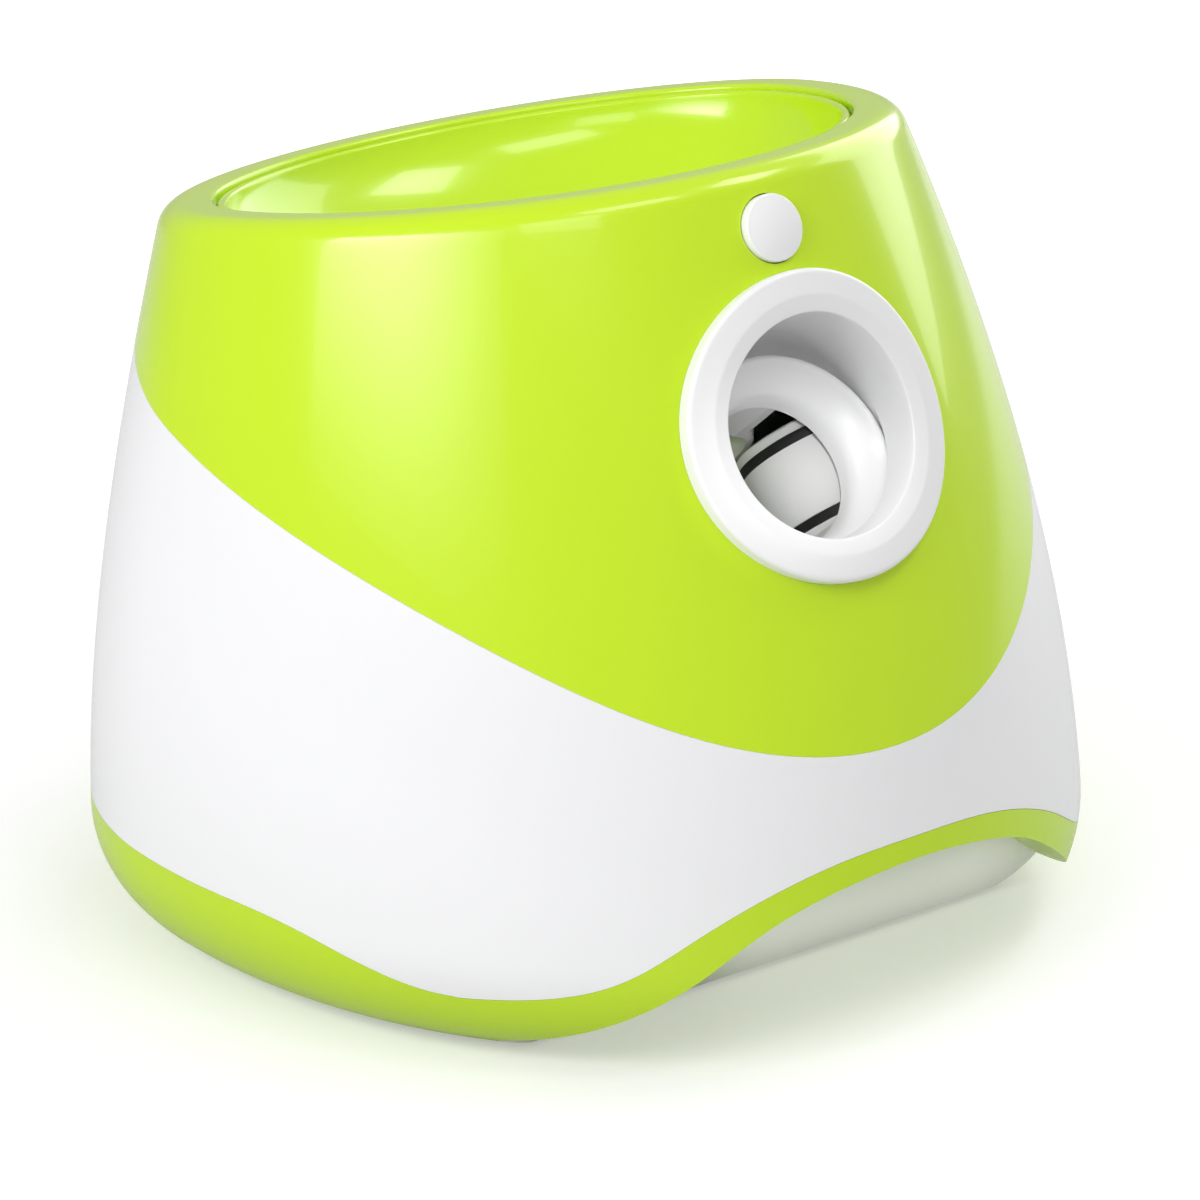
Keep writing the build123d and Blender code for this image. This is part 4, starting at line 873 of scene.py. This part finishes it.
# -------------------------------------------------------------------- grip bands
# Black rubber bands stretched into the wheels' grooves, just proud of the tread,
# to grip the ball.
BAND_PROUD = 0.0004
BAND_EDGE = 0.0004
BAND_SLACK = 0.0001
band_rubber = moulded("band_rubber", (0.012, 0.012, 0.013), 0.55, drift=0.2, grain_scale=1400.0, bump=0.15)


def band_profile():
    inner = WHEEL_RADIUS - GROOVE_DEPTH + BAND_SLACK
    outer = WHEEL_RADIUS + BAND_PROUD
    half = BAND_WIDTH / 2 - BAND_SLACK
    upper = [
        (inner, half), (outer - BAND_EDGE, half), (outer - BAND_EDGE / 4, half - BAND_EDGE / 4),
        (outer, half - BAND_EDGE),
    ]
    return upper + [(radius, -height) for radius, height in reversed(upper)]


for side, hand in ((-1, "left"), (1, "right")):
    for row, lift in (("upper", BAND_SPACING / 2), ("lower", -BAND_SPACING / 2)):
        band = turned(f"{row}_band_{hand}", band_profile(), wheel_place(side, lift), 128)
        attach(band, f"flywheel_{hand}")
        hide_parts(f"{row}_grip_band_{hand}")
        paint(band, band_rubber)


# ------------------------------------------------------------------ power button
# Round white cap with a shallow dome and a soft edge, guided by a skirt with a
# rim, and a stem that presses the switch behind it.
CAP_DOME = 0.0016
CAP_EDGE = 0.0007
SKIRT_DEPTH = 0.0060
SKIRT_RIM = 0.0012
STEM_RADIUS = 0.0016
STEM_END = 0.00695


def cap_profile():
    bend = (BUTTON_RADIUS ** 2 + CAP_DOME ** 2) / (2 * CAP_DOME)
    flat = BUTTON_RADIUS - CAP_EDGE
    line = []
    for k in range(11):
        radius = flat * k / 10
        line.append((radius, CAP_DOME - bend + math.sqrt(bend ** 2 - radius ** 2)))
    shoulder = line[-1][1] - CAP_EDGE
    for k in range(1, 6):
        turn = math.radians(90 - 18 * k)
        line.append((flat + CAP_EDGE * math.cos(turn), shoulder + CAP_EDGE * math.sin(turn)))
    rim = BUTTON_RADIUS + SKIRT_RIM
    return line + [
        (BUTTON_RADIUS, SKIRT_RIM - SKIRT_DEPTH), (rim, SKIRT_RIM - SKIRT_DEPTH), (rim, -SKIRT_DEPTH),
        (STEM_RADIUS, -SKIRT_DEPTH), (STEM_RADIUS, -STEM_END), (0.0, -STEM_END),
    ]


button_cap = turned("power_button_cap", cap_profile(), BUTTON, 96, closed=False)
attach(button_cap, "power_button")
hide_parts("power_button")
button_white = moulded("button_white", (0.88, 0.88, 0.885), 0.28, drift=0.01, coat=0.1)
paint(button_cap, button_white)


# ------------------------------------------------------- channel and inner parts
# Unpainted mouldings inside: the channel's two halves, feed arm, cradle, button
# guide and battery tray, in white ABS with the slight sheen of the tool.
inner_white = moulded("inner_white", (0.80, 0.80, 0.80), 0.45, drift=0.05, bump=0.06)
for name in (
    "launch_channel_left", "launch_channel_right", "feed_arm", "feed_cradle", "button_guide",
    "battery_tray",
):
    paint(nodes[name], inner_white)


# ------------------------------------------------------- black and board pieces
# Small black mouldings, the solder-masked boards, and the parts soldered on them.
black_moulding = moulded("black_moulding", (0.014, 0.014, 0.015), 0.4, drift=0.2, bump=0.08)
for name in ("ball_sensor_left", "ball_sensor_right", "button_switch", "dc_jack", "board_parts"):
    paint(nodes[name], black_moulding)
solder_mask = moulded("solder_mask", (0.010, 0.115, 0.045), 0.32, drift=0.3, grain_scale=300.0, bump=0.1)
for name in ("control_board", "button_board"):
    paint(nodes[name], solder_mask)
foot_rubber = moulded("foot_rubber", (0.05, 0.05, 0.052), 0.7, drift=0.2, grain_scale=1600.0, bump=0.2)
paint(nodes["rubber_feet"], foot_rubber)
paint(nodes["battery_door"], lime_base)


# ------------------------------------------------------------------------ metals
# Drawn cans, ground shafts, plated sheet and screws: fine lines left by the
# tool, and patches where the plating is duller.
metal_group = finish_group("worked_metal", (
    ("Color", "NodeSocketColor", (0.6, 0.6, 0.6, 1.0)),
    ("Roughness", "NodeSocketFloat", 0.3),
    ("Line Scale", "NodeSocketFloat", 600.0),
))
given = metal_group.nodes.new("NodeGroupInput").outputs
result = metal_group.nodes.new("NodeGroupOutput").inputs
place = metal_group.nodes.new("ShaderNodeTexCoord").outputs["Object"]
stretch = metal_group.nodes.new("ShaderNodeMapping")
stretch.inputs["Scale"].default_value = (1.0, 1.0, 12.0)
metal_group.links.new(place, stretch.inputs["Vector"])
lines = noise(metal_group, stretch.outputs["Vector"], given["Line Scale"])
patches = noise(metal_group, place, 60.0)
dull = formula(metal_group, "MULTIPLY_ADD", patches, 0.2, given["Roughness"])
shade = formula(metal_group, "MULTIPLY_ADD", patches, 0.25, 0.87)
metal_group.links.new(scaled(metal_group, given["Color"], shade), result["Color"])
metal_group.links.new(dull, result["Roughness"])
metal_group.links.new(lines, result["Height"])


def metal(name, colour, roughness):
    values = {"Color": (*colour, 1.0), "Roughness": roughness}
    material = finished(name, metal_group, values, 0.08, 0.0002)
    material.node_tree.nodes["Principled BSDF"].inputs["Metallic"].default_value = 1.0
    return material


for name, colour, roughness, parts in (
    ("can_steel", (0.55, 0.56, 0.57), 0.28, ("flywheel_motor_left", "flywheel_motor_right", "feed_motor")),
    ("gearbox_steel", (0.50, 0.50, 0.51), 0.34, ("feed_gearbox",)),
    ("ground_steel", (0.62, 0.62, 0.62), 0.18, ("motor_shaft_left", "motor_shaft_right", "feed_shaft")),
    ("zinc_sheet", (0.60, 0.61, 0.62), 0.36, ("motor_bracket",)),
    ("zinc_screw", (0.58, 0.58, 0.58), 0.30, ("motor_screws", "base_screws")),
    ("contact_brass", (0.72, 0.58, 0.30), 0.25, ("battery_contacts",)),
    ("cell_jacket", (0.42, 0.43, 0.45), 0.32, tuple(f"battery_cell_{k}" for k in range(1, 7))),
):
    finish = metal(name, colour, roughness)
    for part in parts:
        paint(nodes[part], finish)


# ------------------------------------------------------------------------ studio
# Pale floor that runs into a white surround. Soft boxes all round give the long
# reflections on the shell, the rim and the bowl; a snoot lights the wheel through
# the muzzle, and a low strip lights the tunnel under the front.
FLOOR_SHADE = 0.68
NEAR_GLOW = 0.38
FAR_GLOW = 0.85
GLOW_START = 0.20
GLOW_END = 1.0
FLOOR_MIRROR = 0.1
AMBIENT = 0.45
AIM_HEIGHT = 0.15               # of the point that the lamps are turned to
LEFT_FADE = ((0.35, 1.0, 1.0, 0.1), (0.0, 1.0, 0.05, 1.0))
SNOOT_PLACE = (-37, 23, 1.5)
SNOOT_POWER = 90
SNOOT_CONE = math.radians(1.5)
SNOOT_AIM = (0.008, 0, -THROAT_DEPTH)
STRIP_PLACE = (-38, 2.5, 0.8)   # counted from what the strip is aimed at
STRIP_WIDTH = 0.085
STRIP_HEIGHT = 0.012
STRIP_SPREAD = math.radians(2.5)
STRIP_POWER = 0.0023
STRIP_AIM = (0.036, ARCH_REAR, 0.009)
EYE_LENS = 173.54
EYE_SENSOR = 36.0
EYE_PLACE = (-0.92883, -1.19867, 0.69239)
EYE_SIGHT = (0.56739, 0.73510, -0.37107)
EYE_RIGHT = (0.79162, -0.61101, 0.0)


def seen_by_eye(tree, base, gain, glossy):
    """Value that is base, with gain added to camera and transmission rays.

    Glossy rays get the share of the gain that glossy gives.
    """
    path = tree.nodes.new("ShaderNodeLightPath").outputs
    direct = formula(tree, "MAXIMUM", path["Is Camera Ray"], path["Is Transmission Ray"])
    seen = formula(tree, "MULTIPLY_ADD", path["Is Glossy Ray"], glossy, direct)
    return formula(tree, "MULTIPLY_ADD", seen, gain, base)


def ramp(tree, value, start, end, low, high, kind="LINEAR"):
    """Output of a node that takes a value from start to end over to low to high."""
    node = tree.nodes.new("ShaderNodeMapRange")
    node.interpolation_type = kind
    for label, setting in (("From Min", start), ("From Max", end), ("To Min", low), ("To Max", high)):
        node.inputs[label].default_value = setting
    tree.links.new(value, node.inputs["Value"])
    return node.outputs[0]


floor_mesh = bmesh.new()
bmesh.ops.create_grid(floor_mesh, x_segments=1, y_segments=1, size=6.0)
floor = finish_mesh(floor_mesh, "studio_floor")
floor_paint = bpy.data.materials.new("studio_floor")
floor_paint.use_nodes = True
shader = floor_paint.node_tree.nodes["Principled BSDF"]
shader.inputs["Base Color"].default_value = (FLOOR_SHADE, FLOOR_SHADE, FLOOR_SHADE, 1.0)
shader.inputs["Roughness"].default_value = 0.9
shader.inputs["Specular IOR Level"].default_value = 0.0
shader.inputs["Emission Color"].default_value = (1.0, 1.0, 1.0, 1.0)
tree = floor_paint.node_tree
place = tree.nodes.new("ShaderNodeTexCoord").outputs["Object"]
away = tree.nodes.new("ShaderNodeVectorMath")
away.operation = "LENGTH"
tree.links.new(place, away.inputs[0])
spread = ramp(tree, away.outputs["Value"], GLOW_START, GLOW_END, NEAR_GLOW, FAR_GLOW)
glow = formula(tree, "MULTIPLY", seen_by_eye(tree, 0.0, 1.0, FLOOR_MIRROR), spread)
tree.links.new(glow, shader.inputs["Emission Strength"])
paint(floor, floor_paint)

world = bpy.data.worlds.new("surround")
bpy.context.scene.world = world
world.use_nodes = True
surround = world.node_tree.nodes["Background"]
surround.inputs["Color"].default_value = (1.0, 1.0, 1.0, 1.0)
sky = seen_by_eye(world.node_tree, AMBIENT, 1.0 - AMBIENT, 0.0)
world.node_tree.links.new(sky, surround.inputs["Strength"])


def bearing(turn, rise, distance):
    """Place at a bearing in degrees from the front (-Y) and a height angle."""
    turn = math.radians(turn)
    rise = math.radians(rise)
    flat = distance * math.cos(rise)
    height = AIM_HEIGHT + distance * math.sin(rise)
    return Vector((flat * math.sin(turn), -flat * math.cos(turn), height))


def hang(lamp, place, aim):
    """Puts the lamp at the place, turned to the aim."""
    stand = bpy.data.objects.new(lamp.name, lamp)
    stand.location = place
    stand.rotation_euler = (aim - stand.location).to_track_quat("-Z", "Y").to_euler()
    bpy.context.scene.collection.objects.link(stand)


def panel(name, width, height):
    """Flat oblong lamp."""
    lamp = bpy.data.lights.new(name, "AREA")
    lamp.shape = "RECTANGLE"
    lamp.size = width
    lamp.size_y = height
    return lamp


def softbox(name, turn, rise, distance, width, height, radiance, fade=None):
    """Lamp turned to the object, at a bearing; fade is a ramp across and one upwards."""
    lamp = panel(name, width, height)
    lamp.energy = radiance * math.pi * width * height
    hang(lamp, bearing(turn, rise, distance), bearing(0, 0, 0))
    if fade:
        lamp.use_nodes = True
        tree = lamp.node_tree
        spot = tree.nodes.new("ShaderNodeNewGeometry").outputs["Parametric"]
        split = tree.nodes.new("ShaderNodeSeparateXYZ")
        tree.links.new(spot, split.inputs[0])
        shares = [ramp(tree, split.outputs[i], *fade[i], kind="SMOOTHSTEP") for i in (0, 1)]
        strength = formula(tree, "MULTIPLY", *shares)
        tree.links.new(strength, tree.nodes["Emission"].inputs["Strength"])


softbox("left_box", -74, 25, 1.5, 1.30, 0.82, 10.5, fade=LEFT_FADE)
softbox("right_box", 103, 20, 1.3, 1.15, 0.84, 2.3)
softbox("front_box", 4, 61, 1.5, 0.62, 0.32, 4.0)
softbox("side_box", 72, 55, 1.5, 0.50, 0.34, 6.0)
softbox("fill_box", -28, 42, 1.5, 0.55, 0.40, 2.5)

snoot = bpy.data.lights.new("snoot", "SPOT")
snoot.energy = SNOOT_POWER
snoot.spot_size = SNOOT_CONE
snoot.spot_blend = 0.8
snoot.shadow_soft_size = 0.02
hang(snoot, bearing(*SNOOT_PLACE), LAUNCH @ Vector(SNOOT_AIM))

strip = panel("low_strip", STRIP_WIDTH, STRIP_HEIGHT)
strip.spread = STRIP_SPREAD
strip.energy = STRIP_POWER
tunnel = Vector(STRIP_AIM)
hang(strip, tunnel + bearing(*STRIP_PLACE) - bearing(0, 0, 0), tunnel)

eye = bpy.data.cameras.new("view")
eye.lens = EYE_LENS
eye.sensor_width = EYE_SENSOR
camera = bpy.data.objects.new("view", eye)
camera.location = EYE_PLACE
sight = Vector(EYE_SIGHT).normalized()
right = Vector(EYE_RIGHT).normalized()
camera.rotation_euler = Matrix((right, right.cross(sight), -sight)).transposed().to_euler()
bpy.context.scene.collection.objects.link(camera)
bpy.context.scene.camera = camera
bpy.context.scene.view_settings.view_transform = "Standard"
